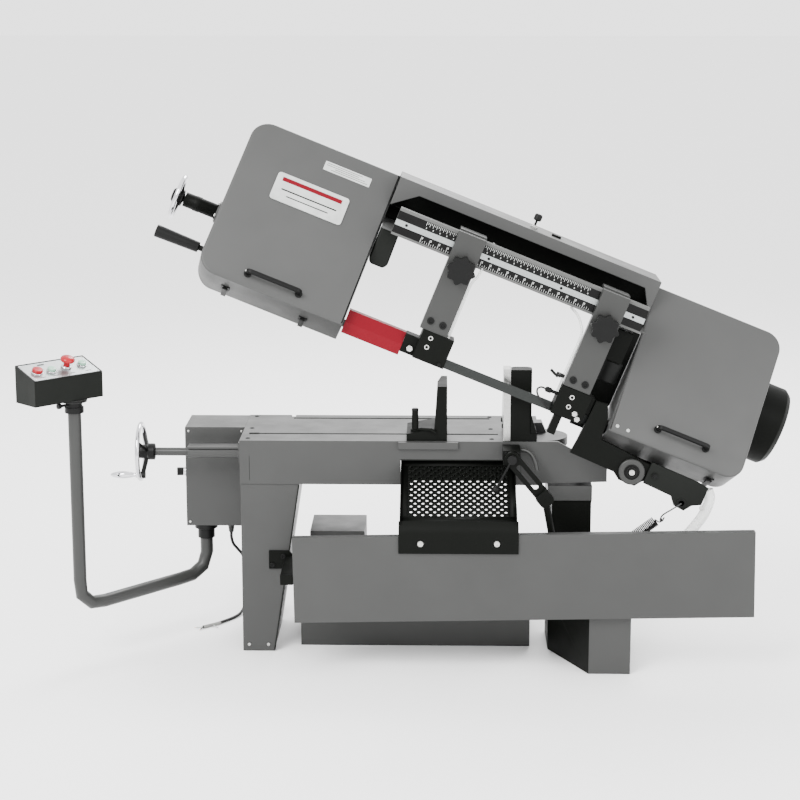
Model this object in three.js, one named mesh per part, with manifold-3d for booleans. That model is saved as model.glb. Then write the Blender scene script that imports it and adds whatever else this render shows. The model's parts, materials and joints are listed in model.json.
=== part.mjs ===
// Horizontal mitring band saw: a bed on a leg and a pedestal, a swivel arm, a tilted saw head with two
// wheels and a blade, a screw vise, a chip chute, a coolant tank and a control console on a swinging arm.
// Millimetres, +Z up. X runs along the bed, Y away from the operator. Heights are from the floor.
import * as THREE from 'three';
import { mergeVertices } from 'three/addons/utils/BufferGeometryUtils.js';
import Module from 'manifold-3d';

const wasm = await Module();
wasm.setup();

// ---- driving dimensions -------------------------------------------------------------------------

// The model is laid out from the front edge of the bed and then shifted so that the origin is under
// the middle of its bounding box.
const layoutOrigin = { x: -69.4, y: 87.9 };
const gap = 0.3;

const bed = { left: -567, right: 290, depth: 341, top: 628, under: 501, plate: 24, wall: 12 };
const wing = { fold: 337, right: 477, under: 512, shoulder: 550 };
const chuteMouth = { left: -109, right: 218, top: 574 };
const screw = { y: 91, z: 573, radius: 10 };
const bearingEnd = -725;

const swivel = { x: 290, y: 90, radius: 79, pin: 16, armTop: 583, armUnder: 540 };
const pivot = { x: 538, z: 564, front: -59, back: 95, hubRadius: 26, pinRadius: 12 };
const headTilt = 22;
const headForward = 25;

// The wheel cases lean back; their frame has x along the blade, y into the case and z up the face.
const lean = { angle: 30, y: 28.3, z: 285.8 };
const caseDepth = { cover: 84, shelf: 104, shelfBack: 112 };
const leftCase = { left: -1335, right: -902, bottom: -232, top: 250, corner: 54, back: 128 };
const rightCase = { left: -110, right: 285, bottom: -226, top: 232, corner: 50, back: 122 };
const wheel = { radius: 188.4, width: 32, depth: 65, v: -11, hub: 34, axle: 16 };
const tensionDepth = 126;
const idlerX = -1118;
const driveX = 90;
const wheelSides = 32;
const blade = { width: 27, thickness: 1.2, radius: 190.2 };

const rail = { left: -872, right: -131, bottom: 362, top: 440, front: -30, back: -4.3 };
const beam = { front: 90, back: 247, bottom: 364, top: 506, wall: 6, lip: 32 };
const arm = { width: 80, front: -58, back: -30.3, bottom: 155, top: 444 };
const leftArmX = -701;
const rightArmX = -273;

const box = { left: -743, right: -567.3, front: 170, back: 335, bottom: 330, top: 628 };
const console = {
  x: -1015, y: -100, yaw: 45, left: -144, near: -26, width: 224, depth: 94, front: 70, back: 102, base: 768,
};
const consoleArm = { x: -690, y: 205, radius: 19, low: 178 };
const leadExit = { x: -622, y: 262 };

// ---- materials ----------------------------------------------------------------------------------

const finishes = {
  greyPaint: { color: 0x74777a, roughness: 0.45, metalness: 0.1 },
  darkPaint: { color: 0x2a2d2a, roughness: 0.5, metalness: 0.1 },
  blackPlastic: { color: 0x151615, roughness: 0.55, metalness: 0.0 },
  steel: { color: 0xb9bbbc, roughness: 0.3, metalness: 0.9 },
  chrome: { color: 0xe2e4e6, roughness: 0.12, metalness: 1.0 },
  bladeSteel: { color: 0x5c615f, roughness: 0.35, metalness: 0.8 },
  castIron: { color: 0x4a4c4b, roughness: 0.6, metalness: 0.4 },
  redPaint: { color: 0xb01028, roughness: 0.4, metalness: 0.1 },
  redPlastic: { color: 0xc0161c, roughness: 0.3, metalness: 0.0 },
  greenPlastic: { color: 0xbfd8c8, roughness: 0.3, metalness: 0.0 },
  clearHose: { color: 0xd9dbd8, roughness: 0.35, metalness: 0.0 },
  rubber: { color: 0x1a1a1a, roughness: 0.8, metalness: 0.0 },
};

// ---- shape helpers ------------------------------------------------------------------------------

// A block from one corner to the other.
function block(x0, x1, y0, y1, z0, z1) {
  const geometry = new THREE.BoxGeometry(x1 - x0, y1 - y0, z1 - z0);
  return geometry.translate((x0 + x1) / 2, (y0 + y1) / 2, (z0 + z1) / 2);
}

// A round bar along x, y or z. The centre gives the other two coordinates in their usual order.
function bar(axis, radius, from, to, centre, sides = 20, endRadius = radius) {
  const middle = (from + to) / 2;
  const geometry = new THREE.CylinderGeometry(endRadius, radius, to - from, sides);
  if (axis === 'x') return geometry.rotateZ(-Math.PI / 2).translate(middle, centre[0], centre[1]);
  if (axis === 'z') return geometry.rotateX(Math.PI / 2).translate(centre[0], centre[1], middle);
  return geometry.translate(centre[0], middle, centre[1]);
}

function outline(points) {
  return new THREE.Shape(points.map(([a, b]) => new THREE.Vector2(a, b)));
}

// A plate with its outline in x and z, from y0 to y1.
function plateXZ(shape, y0, y1) {
  const geometry = new THREE.ExtrudeGeometry(shape, { depth: y1 - y0, bevelEnabled: false, curveSegments: 6 });
  return geometry.rotateX(Math.PI / 2).translate(0, y1, 0);
}

// A plate with its outline in x and y, from z0 to z1.
function plateXY(shape, z0, z1) {
  const geometry = new THREE.ExtrudeGeometry(shape, { depth: z1 - z0, bevelEnabled: false, curveSegments: 6 });
  return geometry.translate(0, 0, z0);
}

// A section in y and z, drawn out along x.
function sectionYZ(shape, x0, x1) {
  const geometry = new THREE.ExtrudeGeometry(shape, { depth: x1 - x0, bevelEnabled: false, curveSegments: 6 });
  const turn = new THREE.Matrix4().makeBasis(
    new THREE.Vector3(0, 1, 0),
    new THREE.Vector3(0, 0, 1),
    new THREE.Vector3(1, 0, 0),
  );
  return geometry.applyMatrix4(turn).translate(x0, 0, 0);
}

// A rectangle whose corners are rounded by the four radii, from the lower left one anticlockwise.
function roundedRect(x0, x1, z0, z1, [r0, r1, r2, r3]) {
  const shape = new THREE.Shape();
  shape.moveTo(x0 + r0, z0);
  shape.lineTo(x1 - r1, z0);
  if (r1 > 0) shape.absarc(x1 - r1, z0 + r1, r1, -Math.PI / 2, 0);
  shape.lineTo(x1, z1 - r2);
  if (r2 > 0) shape.absarc(x1 - r2, z1 - r2, r2, 0, Math.PI / 2);
  shape.lineTo(x0 + r3, z1);
  if (r3 > 0) shape.absarc(x0 + r3, z1 - r3, r3, Math.PI / 2, Math.PI);
  shape.lineTo(x0, z0 + r0);
  if (r0 > 0) shape.absarc(x0 + r0, z0 + r0, r0, Math.PI, Math.PI * 1.5);
  return shape;
}

// A round body turned about the y axis of its group, from a closed profile of [radius, y].
function turned(profile, sides) {
  const points = profile.map(([radius, y]) => new THREE.Vector2(radius, y));
  return new THREE.LatheGeometry(points, sides);
}

// A bar of round section along a path of points.
function pipe(points, radius, sides, steps, tension = 0.5) {
  const path = new THREE.CatmullRomCurve3(points.map((p) => new THREE.Vector3(...p)), false, 'catmullrom', tension);
  const section = new THREE.Shape();
  for (let i = 0; i < sides; i += 1) {
    const angle = (i / sides) * Math.PI * 2;
    const x = radius * Math.cos(angle);
    const y = radius * Math.sin(angle);
    if (i === 0) section.moveTo(x, y);
    else section.lineTo(x, y);
  }
  return new THREE.ExtrudeGeometry(section, { steps, extrudePath: path, bevelEnabled: false });
}

function solid(geometry) {
  const bare = geometry.clone();
  bare.deleteAttribute('normal');
  bare.deleteAttribute('uv');
  const merged = mergeVertices(bare, 1e-4);
  return new wasm.Manifold(new wasm.Mesh({
    numProp: 3,
    vertProperties: new Float32Array(merged.attributes.position.array),
    triVerts: new Uint32Array(merged.index.array),
  }));
}

// Joins the first list of geometries into one and takes the second list away from it.
function carve(added, removed = []) {
  let body = solid(added[0]);
  for (const piece of added.slice(1)) body = body.add(solid(piece));
  for (const piece of removed) body = body.subtract(solid(piece));
  const mesh = body.getMesh();
  const geometry = new THREE.BufferGeometry();
  geometry.setAttribute('position', new THREE.BufferAttribute(new Float32Array(mesh.vertProperties), 3));
  geometry.setIndex(new THREE.BufferAttribute(new Uint32Array(mesh.triVerts), 1));
  return geometry;
}

function add(group, name, geometry, finish) {
  const shown = geometry.index ? geometry : mergeVertices(geometry);
  const mesh = new THREE.Mesh(shown, new THREE.MeshStandardMaterial(finishes[finish]));
  mesh.name = name;
  group.add(mesh);
  return mesh;
}

// ---- groups -------------------------------------------------------------------------------------

const saw = new THREE.Group();
const base = new THREE.Group();
base.position.set(-layoutOrigin.x, -layoutOrigin.y, 0);
saw.add(base);

const head = new THREE.Group();
head.position.set(pivot.x, -headForward, pivot.z);
head.rotation.y = THREE.MathUtils.degToRad(headTilt);
base.add(head);

const cases = new THREE.Group();
cases.position.set(0, lean.y, lean.z);
cases.rotation.x = THREE.MathUtils.degToRad(-lean.angle);
head.add(cases);

// ---- bed and stand ------------------------------------------------------------------------------

function makeBed() {
  const underTop = bed.top - bed.plate;
  const body = block(bed.left, bed.right, 0, bed.depth, bed.under, bed.top);
  const wingPlate = plateXZ(outline([
    [bed.right - 20, wing.under - 6],
    [wing.right, wing.under],
    [wing.right, wing.shoulder],
    [wing.fold, bed.top],
    [bed.right - 20, bed.top],
  ]), 0, bed.wall);
  const roundEnd = bar('z', swivel.radius, underTop, bed.top, [swivel.x, swivel.y], 36);
  const rearStop = plateXZ(outline([[264, 620], [313, 620], [297, 657], [264, 657]]), 118, 164);
  const kingpin = bar('z', swivel.pin, swivel.armUnder - 10, underTop + 4, [swivel.x, swivel.y], 20);
  const hollow = block(bed.left + bed.wall, bed.right + 1, bed.wall, bed.depth - bed.wall, bed.under - 1, underTop);
  const mouth = block(chuteMouth.left, chuteMouth.right, -1, bed.wall + 1, bed.under - 1, chuteMouth.top);
  const frontSlot = block(-547, 170, 84, 98, underTop - 1, bed.top + 1);
  const slotEnd = block(-547, -518, 80, 102, underTop - 1, bed.top + 1);
  const backSlot = block(-433, 150, 290, 304, underTop - 1, bed.top + 1);
  const notch = block(-441, -429, 320, bed.depth + 1, underTop - 1, bed.top + 1);
  const screwHole = bar('x', screw.radius + gap, bearingEnd - 1, bed.left + bed.wall + 1, [screw.y, screw.z]);
  const shell = carve([body], [hollow, mouth, frontSlot, slotEnd, backSlot, notch]);
  const bearing = [
    bar('x', 18, bearingEnd, bed.left + 1, [screw.y, screw.z], 20),
    block(bearingEnd + 1, bed.left + 1, 68, 114, 587, 592),
    block(bed.left - 10, bed.left + 1, 62, 120, 545, 606),
  ];
  add(base, 'bed', carve([shell, wingPlate, roundEnd, rearStop, kingpin, ...bearing], [screwHole]), 'greyPaint');
}

function makeStand() {
  const legTop = bed.under - gap;
  const outer = plateXZ(outline([[-566, 0], [-474, 0], [-398, legTop], [-566, legTop]]), 4, 300);
  const inner = plateXZ(outline([[-561, -1], [-479, -1], [-404, legTop + 1], [-561, legTop + 1]]), 9, 295);
  add(base, 'left_leg', carve([outer], [inner]), 'greyPaint');

  const neck = block(311, 436, 4, 150, 453, wing.under - 12 - gap);
  const column = block(323, 435, 8, 146, 164, 454);
  const foot = plateXY(outline([[421, -173], [539, -173], [539, 200], [318, 200], [318, 37]]), 0, 165);
  const columnHollow = block(331, 427, 16, 138, 150, 491);
  const footHollow = plateXY(outline([[427, -163], [531, -163], [531, 192], [326, 192], [326, 40]]), -1, 157);
  add(base, 'pedestal', carve([neck, column, foot], [columnHollow, footHollow]), 'darkPaint');
}

// The splash panel falls 1.1 degrees towards the tank; its edges are folded back.
function makeCoolantParts() {
  const panel = new THREE.Group();
  panel.position.set(-401, -200, 153);
  panel.rotation.y = THREE.MathUtils.degToRad(-1.1);
  base.add(panel);
  const sheet = outline([[0, 0], [26, 0], [26, 3], [3, 3], [3, 242], [26, 242], [26, 245], [0, 245]]);
  add(panel, 'splash_panel', sectionYZ(sheet, 0, 1278), 'greyPaint');

  const chuteSheet = outline([
    [38, 570], [-183, 442], [-204, 412], [-204, 357], [-207, 357], [-207, 413.5], [-185, 445], [37, 573],
  ]);
  const floorSheet = sectionYZ(chuteSheet, -108, 217);
  const sideShape = outline([[38, 571], [-183, 443], [-196, 425], [-196, 447], [-183, 462], [30, 584]]);
  const leftSide = sectionYZ(sideShape, -108, -105);
  // The right side stops where the work stop's arm and lever swing over the chute.
  const rightRear = sectionYZ(outline([[38, 571], [-78, 503.8], [-66, 529], [30, 584]]), 214, 217);
  const rightFront = sectionYZ(
    outline([[-132, 472.6], [-183, 443], [-196, 425], [-196, 447], [-183, 462], [-144, 484.3]]), 214, 217,
  );
  add(base, 'chip_chute', carve([floorSheet, leftSide, rightRear, rightFront]), 'darkPaint');

  const tank = block(-401, 267, 59, 360, 0, 130);
  const tankHollow = block(-398, 264, 62, 357, 3, 131);
  add(base, 'coolant_tank', carve([tank], [tankHollow]), 'darkPaint');
  const lid = block(-404, 270, 56, 363, 130 + gap, 134);
  const housing = block(-376, -216, 116, 300, 132, 330);
  const housingHollow = block(-372, -220, 120, 296, 129, 326);
  add(base, 'tank_lid', carve([lid, housing], [housingHollow]), 'greyPaint');
  const motor = bar('z', 52, 134 + gap, 280, [-295, 205], 20);
  const impeller = bar('z', 30, 20, 134 + gap, [-295, 205], 16);
  add(base, 'coolant_pump', carve([motor, impeller]), 'castIron');
}

// ---- electrical box, console and its arm --------------------------------------------------------

function makeElectricalBox() {
  const shell = block(box.left, box.right, box.front, box.back, box.bottom, box.top);
  const hollow = block(box.left + 3, box.right - 3, box.front + 3, box.back - 3, box.bottom + 3, box.top - 3);
  const gland = [[5, -44], [7.2, -44], [10, -24], [14, -12], [14, 2], [5, 2], [5, -44]];
  const sleeve = turned(gland, 14).rotateX(Math.PI / 2).translate(leadExit.x, leadExit.y, box.bottom);
  const entry = bar('z', 5, box.bottom - 10, box.bottom + 10, [leadExit.x, leadExit.y], 14);
  add(base, 'electrical_box', carve([carve([shell], [hollow]), sleeve], [entry]), 'greyPaint');

  const [y, z] = [205, 486];
  const stem = bar('x', 10.5, box.left - 20, box.left - gap, [y, z]);
  const handle = block(box.left - 30, box.left - 12, y - 6, y + 6, z - 11, z + 11);
  add(base, 'main_switch', carve([stem, handle]), 'blackPlastic');
}

function makeConsole() {
  const { x, y, radius, low } = consoleArm;
  const collar = carve([
    bar('z', 34, box.bottom - 14, box.bottom - gap, [x, y], 24),
    bar('z', 25, box.bottom - 44, box.bottom - 14, [x, y], 24),
  ], [bar('z', 12.3, box.bottom - 50, box.bottom + 1, [x, y], 20)]);
  add(base, 'arm_collar', collar, 'blackPlastic');

  const reach = new THREE.Vector2(console.x - x, console.y - y);
  const at = (share, z) => [x + reach.x * share, y + reach.y * share, z];
  const route = [
    at(0, box.bottom - 44 - gap), at(0, 262), at(0, 236), at(0.02, 208), at(0.08, low + 8), at(0.16, low),
    at(0.5, low - 6), at(0.84, low - 12), at(0.93, low - 6), at(0.985, low + 18), at(1, low + 48), at(1, 400),
    at(1, 600), at(1, console.base - 34),
  ];
  const tube = pipe(route, radius, 12, 24, 0.35);
  const pin = bar('z', 12, box.bottom - 60, box.bottom - 2, [x, y], 16);
  const flange = [[26, -38, -22], [22, -23, -6], [36, -7, -gap]].map(([r, z0, z1]) => (
    bar('z', r, console.base + z0, console.base + z1, [console.x, console.y], 24)
  ));
  add(base, 'console_arm', carve([tube, pin, ...flange]), 'greyPaint');

  const post = new THREE.Group();
  post.position.set(console.x, console.y, console.base);
  post.rotation.z = THREE.MathUtils.degToRad(console.yaw);
  base.add(post);
  const left = console.left;
  const right = left + console.width;
  const front = console.near;
  const back = front + console.depth;
  const profile = outline([[front, 0], [back, 0], [back, console.back], [front, console.front]]);
  const inner = outline([[front + 3, 3], [back - 3, 3], [back - 3, console.back - 5], [front + 3, console.front - 4]]);
  const slope = Math.atan2(console.back - console.front, console.depth);
  const deck = new THREE.Group();
  deck.position.set(left, front, console.front);
  deck.rotation.x = slope;
  post.add(deck);
  const length = console.depth / Math.cos(slope);
  const buttons = [
    { name: 'stop_button', x: 38, y: 0.46, radius: 15, height: 9, finish: 'redPlastic' },
    { name: 'start_button', x: 82, y: 0.42, radius: 12, height: 8, finish: 'greenPlastic' },
    { name: 'lamp_button', x: 188, y: 0.5, radius: 12, height: 8, finish: 'greenPlastic' },
  ];
  const estop = { x: 136, y: 0.5, radius: 20, height: 30 };
  const holes = [...buttons.map((b) => ({ ...b, bore: 9.3 })), { ...estop, bore: 9.3 }].map((b) => {
    const bore = bar('z', b.bore, -16, 16, [0, 0], 16);
    return bore.translate(b.x, b.y * length, 0).rotateX(slope).translate(left, front, console.front);
  });
  const shell = carve([sectionYZ(profile, left, right)],
    [sectionYZ(inner, left + 3, right - 3), block(left + 90, left + 110, 0, 20, -1, 4), ...holes]);
  add(post, 'console_box', shell, 'darkPaint');

  for (const button of buttons) {
    const cap = bar('z', button.radius, 5, 5 + button.height, [button.x, button.y * length], 20);
    const stem = bar('z', 9, -14, 6, [button.x, button.y * length], 14);
    add(deck, button.name, carve([cap, stem]), button.finish);
  }
  const mushroom = [[0, 22], [estop.radius, 22], [estop.radius, 29], [estop.radius - 5, 34], [0, 36]];
  const cap = turned(mushroom, 24).rotateX(Math.PI / 2).translate(estop.x, estop.y * length, 0);
  const stem = bar('z', 9, -14, 23, [estop.x, estop.y * length], 14);
  add(deck, 'emergency_stop', carve([cap, stem]), 'redPlastic');
}

// ---- vise ---------------------------------------------------------------------------------------

function makeVise() {
  const centre = [screw.y, screw.z];
  const handlePoint = [screw.y, screw.z - 70];
  const rim = new THREE.TorusGeometry(80, 6.5, 6, 24).rotateY(Math.PI / 2).translate(-861, screw.y, screw.z);
  const spokes = [0, 1, 2].map((i) => {
    const spoke = new THREE.BoxGeometry(7, 16, 78).translate(0, 0, 39);
    return spoke.rotateX((i * 2 * Math.PI) / 3 + Math.PI).translate(-858, screw.y, screw.z);
  });
  const hub = bar('x', 20, -872, -838, centre, 20);
  const boss = bar('x', 11, -874, -850, handlePoint, 14);
  const thread = bar('x', screw.radius, -872, 160, centre, 16);
  const collar = bar('x', 12, -840, bearingEnd - gap, centre, 16);
  const pinBore = bar('x', 4.3, -880, -845, handlePoint, 12);
  add(base, 'vise_handwheel', carve([rim, ...spokes, hub, boss, thread, collar], [pinBore]), 'chrome');
  const grip = carve([
    bar('x', 11, -952, -874 - gap, handlePoint, 16, 8),
    bar('x', 4, -880, -852, handlePoint, 12),
  ]);
  add(base, 'handwheel_grip', grip, 'chrome');

  const jawProfile = outline([[-15, 634], [23, 634], [23, 785], [-5, 785]]);
  const jawPlan = outline([[-15, 5], [23, 5], [23, 165], [6, 165]]);
  const upright = carve([plateXZ(jawProfile, 5, 165)]);
  const keep = solid(plateXY(jawPlan, 630, 790));
  const jawBody = solid(upright).intersect(keep).getMesh();
  const jaw = new THREE.BufferGeometry();
  jaw.setAttribute('position', new THREE.BufferAttribute(new Float32Array(jawBody.vertProperties), 3));
  jaw.setIndex(new THREE.BufferAttribute(new Uint32Array(jawBody.triVerts), 1));
  const foot = plateXZ(outline([[-92, 628 + gap], [23, 628 + gap], [23, 650], [-15, 662], [-92, 648]]), 5, 150);
  const tongue = block(-52, 12, 84.5, 97.5, 560, 640);
  const nut = block(-52, 12, 74, 108, 552, 594);
  const clampPost = bar('z', 9.5, 640, 715, [-68, 28], 16);
  const screwBore = bar('x', screw.radius + gap, -60, 30, centre, 20);
  add(base, 'vise_jaw', carve([jaw, foot, tongue, nut, clampPost], [screwBore]), 'darkPaint');

  const face = outline([[4, bed.top + gap], [150, bed.top + gap], [150, 700], [58, 836], [4, 836]]);
  add(base, 'fixed_jaw_face', sectionYZ(face, 182, 202), 'steel');
  const post = plateXY(roundedRect(202 + gap, 262, 5, 56, [0, 8, 18, 18]), bed.top + gap, 834);
  const rib = sectionYZ(outline([[50, bed.top + gap], [110, bed.top + gap], [110, 690], [50, 820]]), 202 + gap, 226);
  const shoe = block(202 + gap, 277, 5, 110, bed.top + gap, 650);
  const flare = plateXZ(outline([[240, 640], [277, 640], [277, 650], [262, 700], [240, 700]]), 8, 50);
  add(base, 'fixed_jaw', carve([post, rib, shoe, flare]), 'darkPaint');
}

function makeWorkStop() {
  const hinge = [204, 600];
  const casting = carve([
    block(180, 228, -78, -gap, 579, 620),
    bar('y', 17, -86, -66, hinge, 20),
  ]);
  add(base, 'stop_bracket', casting, 'darkPaint');
  const slope = Math.atan2(485 - hinge[1], 300 - hinge[0]);
  const bars = new THREE.Group();
  bars.position.set(hinge[0], 0, hinge[1]);
  bars.rotation.y = -slope;
  base.add(bars);
  const reach = 146;
  const slotted = plateXZ(roundedRect(-20, reach + 20, -20, 20, [19, 19, 19, 19]), -97, -86 - gap);
  const slot = plateXZ(roundedRect(24, reach - 34, -8, 8, [7, 7, 7, 7]), -106, -76);
  const clampBoss = plateXZ(roundedRect(reach - 22, reach + 20, -21, 21, [8, 12, 12, 8]), -114, -96);
  const rodDrop = THREE.MathUtils.degToRad(29);
  const rod = bar('x', 10, -10, 116, [0, 0], 16).rotateY(rodDrop).translate(reach, -104, 0);
  add(bars, 'stop_arm', carve([slotted, clampBoss, rod], [slot]), 'darkPaint');
  const handle = carve([
    bar('y', 13, -112, -97 - gap, [0, 0], 16),
    bar('z', 3.5, -90, -10, [0, -105], 10),
    new THREE.SphereGeometry(11, 12, 8).translate(0, -105, -96),
  ]);
  const lever = add(base, 'stop_lever', handle, 'blackPlastic');
  lever.position.set(hinge[0], 0, hinge[1]);
  lever.rotation.y = THREE.MathUtils.degToRad(28);
}

// ---- swivel arm and pivot -----------------------------------------------------------------------

function makeSwivel() {
  const { x, y, armTop, armUnder } = swivel;
  const plan = outline([[x, 34], [400, 30], [514, 40], [562, 44], [562, 92], [430, 94], [x, 146]]);
  const disc = bar('z', 58, armUnder, armTop, [x, y], 28);
  const hub = bar('y', pivot.hubRadius, pivot.front, pivot.back, [pivot.x, pivot.z], 28);
  // The spring's anchor hangs from a bracket that goes down behind the pedestal and forward beside it.
  const bracket = [
    block(398, 430, 90, 168, armUnder, armUnder + 20),
    block(398, 430, 152, 168, 274, armUnder + 20),
    block(398, 512, 152, 168, 274, 300),
    block(496, 512, -74, 168, 274, 300),
    block(488, 512, -74, -58, 274, 350),
  ];
  const anchor = bar('y', 7, -100, -60, [496, 338], 14);
  const kingpinBore = bar('z', swivel.pin + gap, armUnder - 1, armTop + 1, [x, y], 20);
  const bore = bar('y', pivot.pinRadius + gap, -60, 200, [pivot.x, pivot.z], 20);
  const body = [plateXY(plan, armUnder, armTop), disc, hub, ...bracket, anchor];
  add(base, 'swivel_arm', carve(body, [kingpinBore, bore]), 'castIron');
}

// The counterbalance spring, a closed helix with a straight hook at each end.
function makeSpring() {
  const top = new THREE.Vector3(678, -93, 476);
  const foot = new THREE.Vector3(502, -93, 345);
  const axis = foot.clone().sub(top).normalize();
  const side = new THREE.Vector3(0, 1, 0);
  const up = axis.clone().cross(side);
  const span = top.distanceTo(foot);
  const coilStart = 88;
  const coilEnd = span - 16;
  const turns = 13;
  const coilRadius = 14;
  const points = [top.clone(), top.clone().addScaledVector(axis, 40)];
  for (let i = 0; i <= turns * 8; i += 1) {
    const angle = (i / 8) * Math.PI * 2;
    const along = coilStart + (i / (turns * 8)) * (coilEnd - coilStart);
    const point = top.clone().addScaledVector(axis, along);
    point.addScaledVector(side, coilRadius * Math.cos(angle)).addScaledVector(up, coilRadius * Math.sin(angle));
    points.push(point);
  }
  points.push(foot.clone());
  const wire = pipe(points.map((p) => p.toArray()), 2, 4, turns * 8 + 8);
  add(base, 'counter_spring', wire, 'steel');
}

// ---- head: structure ----------------------------------------------------------------------------

function makeHeadFrame() {
  const { front, back, bottom, top, wall, lip } = beam;
  const channel = outline([
    [front, top], [front, top - lip], [front + wall, top - lip], [front + wall, top - wall],
    [back - wall, top - wall], [back - wall, bottom + wall],
    [rail.back + gap, bottom + wall], [rail.back + gap, bottom], [back, bottom], [back, top],
  ]);
  const beamLeft = leftCase.right + gap;
  const beamRight = rightCase.left - gap;
  const gussets = [
    [[beamLeft, top - lip - 52], [beamLeft + 68, top - lip], [beamLeft + 60, top - 2], [beamLeft, top - 2]],
    [[beamRight, top - lip - 66], [beamRight, top - 2], [beamRight - 60, top - 2], [beamRight - 38, top - lip]],
  ].map((points) => plateXZ(outline(points), front, front + wall));
  add(head, 'head_beam', carve([sectionYZ(channel, beamLeft, beamRight), ...gussets]), 'greyPaint');
  add(head, 'guide_rail', block(rail.left, rail.right, rail.front, rail.back, rail.bottom, rail.top), 'greyPaint');

  const cheek = [
    [-179, -15], [-175, 26], [-169, 146], [-135, 151], [-118, 108], [-115, 52], [-44, 46], [0, 40], [104, 30],
    [104, -12], [40, -14], [24, -36], [-24, -36], [-46, -20],
  ];
  const rearCheek = [[-60, -40], [60, -40], [108, -20], [108, 98], [10, 106], [-80, 140]];
  const hinge = carve([
    plateXZ(outline(cheek), -58, -42),
    plateXZ(outline(rearCheek), 124, 140),
    block(50, 104, -43, 125, -18, 4),
    bar('y', pivot.pinRadius, -72, 146, [0, 0], 20),
    bar('y', 36, -66, -57, [0, 0], 32),
  ]);
  add(head, 'hinge_frame', hinge, 'darkPaint');

  const bracketShape = outline([
    [42, -17], [128, -22], [146, -44], [178, -48], [194, -26], [218, -14], [217, 38], [180, 44], [42, 47],
  ]);
  const bracket = plateXZ(bracketShape, -66, -58 - gap);
  const lugHole = bar('y', 8, -80, -50, [164, -30], 16);
  add(head, 'spring_bracket', carve([bracket], [lugHole]), 'greyPaint');

  const spout = [[222, -40, 30], [238, -40, 6], [240, -42, -40], [228, -44, -90], [214, -46, -130]];
  add(head, 'drain_hose', pipe(spout, 15, 12, 14), 'clearHose');
}

// ---- head: wheel cases and covers (leaned frame: x along the blade, y depth, z up the face) ------

function bladeWindow(x) {
  const low = block(x - 6, x + 6, 42, caseDepth.cover + 2, wheel.v - wheel.radius - 22, wheel.v - wheel.radius + 22);
  const high = block(x - 6, x + 6, 44, caseDepth.cover + 2, wheel.v + wheel.radius - 16, wheel.v + wheel.radius + 16);
  return [low, high];
}

function makeCase(name, size, corners, inner, bosses, cuts) {
  const shell = plateXZ(roundedRect(size.left, size.right, size.bottom, size.top, corners),
    caseDepth.cover + gap, size.back);
  const innerCorners = corners.map((r) => Math.max(r - 4, 0));
  const room = roundedRect(size.left + 4, size.right - 4, size.bottom + 4, size.top - 4, innerCorners);
  const hollows = [
    plateXZ(room, caseDepth.cover - 1, caseDepth.shelf),
    plateXZ(room, caseDepth.shelfBack, size.back + 1),
  ];
  const open = carve([shell], [...hollows, ...bladeWindow(inner)]);
  add(cases, name, carve([open, ...bosses], cuts), 'greyPaint');
}

function makeCover(name, size, corners, inner) {
  const shell = plateXZ(roundedRect(size.left, size.right, size.bottom, size.top, corners), 0, caseDepth.cover);
  const innerCorners = corners.map((r) => Math.max(r - 3, 0));
  const room = plateXZ(roundedRect(size.left + 3, size.right - 3, size.bottom + 3, size.top - 3, innerCorners),
    3, caseDepth.cover + 1);
  add(cases, name, carve([shell], [room, ...bladeWindow(inner)]), 'greyPaint');
}

function makeCoverHandle(name, x0, x1, z) {
  const outer = plateXY(roundedRect(x0, x1, -34, -gap, [16, 16, 0, 0]), z - 6, z + 6);
  const inner = plateXY(roundedRect(x0 + 12, x1 - 12, -22, 1, [6, 6, 0, 0]), z - 7, z + 7);
  add(cases, name, carve([outer], [inner]), 'blackPlastic');
}

// A latch key turns on the rim of the cover and reaches back over the case.
function makeLatch(name, x, size) {
  const key = block(x - 7, x + 7, 56, 112, size.bottom - 11, size.bottom - 5);
  const stud = bar('z', 6, size.bottom - 8, size.bottom - gap, [x, 70], 14);
  add(cases, name, carve([key, stud]), 'blackPlastic');
}

function wheelProfile(bore) {
  const near = wheel.depth - wheel.width / 2;
  const far = wheel.depth + wheel.width / 2;
  const web = [wheel.depth - 4, wheel.depth + 4];
  const rimInner = wheel.radius - 17;
  return [
    [bore, near], [wheel.hub, near], [wheel.hub, web[0]], [rimInner, web[0]], [rimInner, near],
    [wheel.radius, near], [wheel.radius, far], [rimInner, far], [rimInner, web[1]], [wheel.hub, web[1]],
    [wheel.hub, far], [bore, far], [bore, near],
  ];
}

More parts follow.
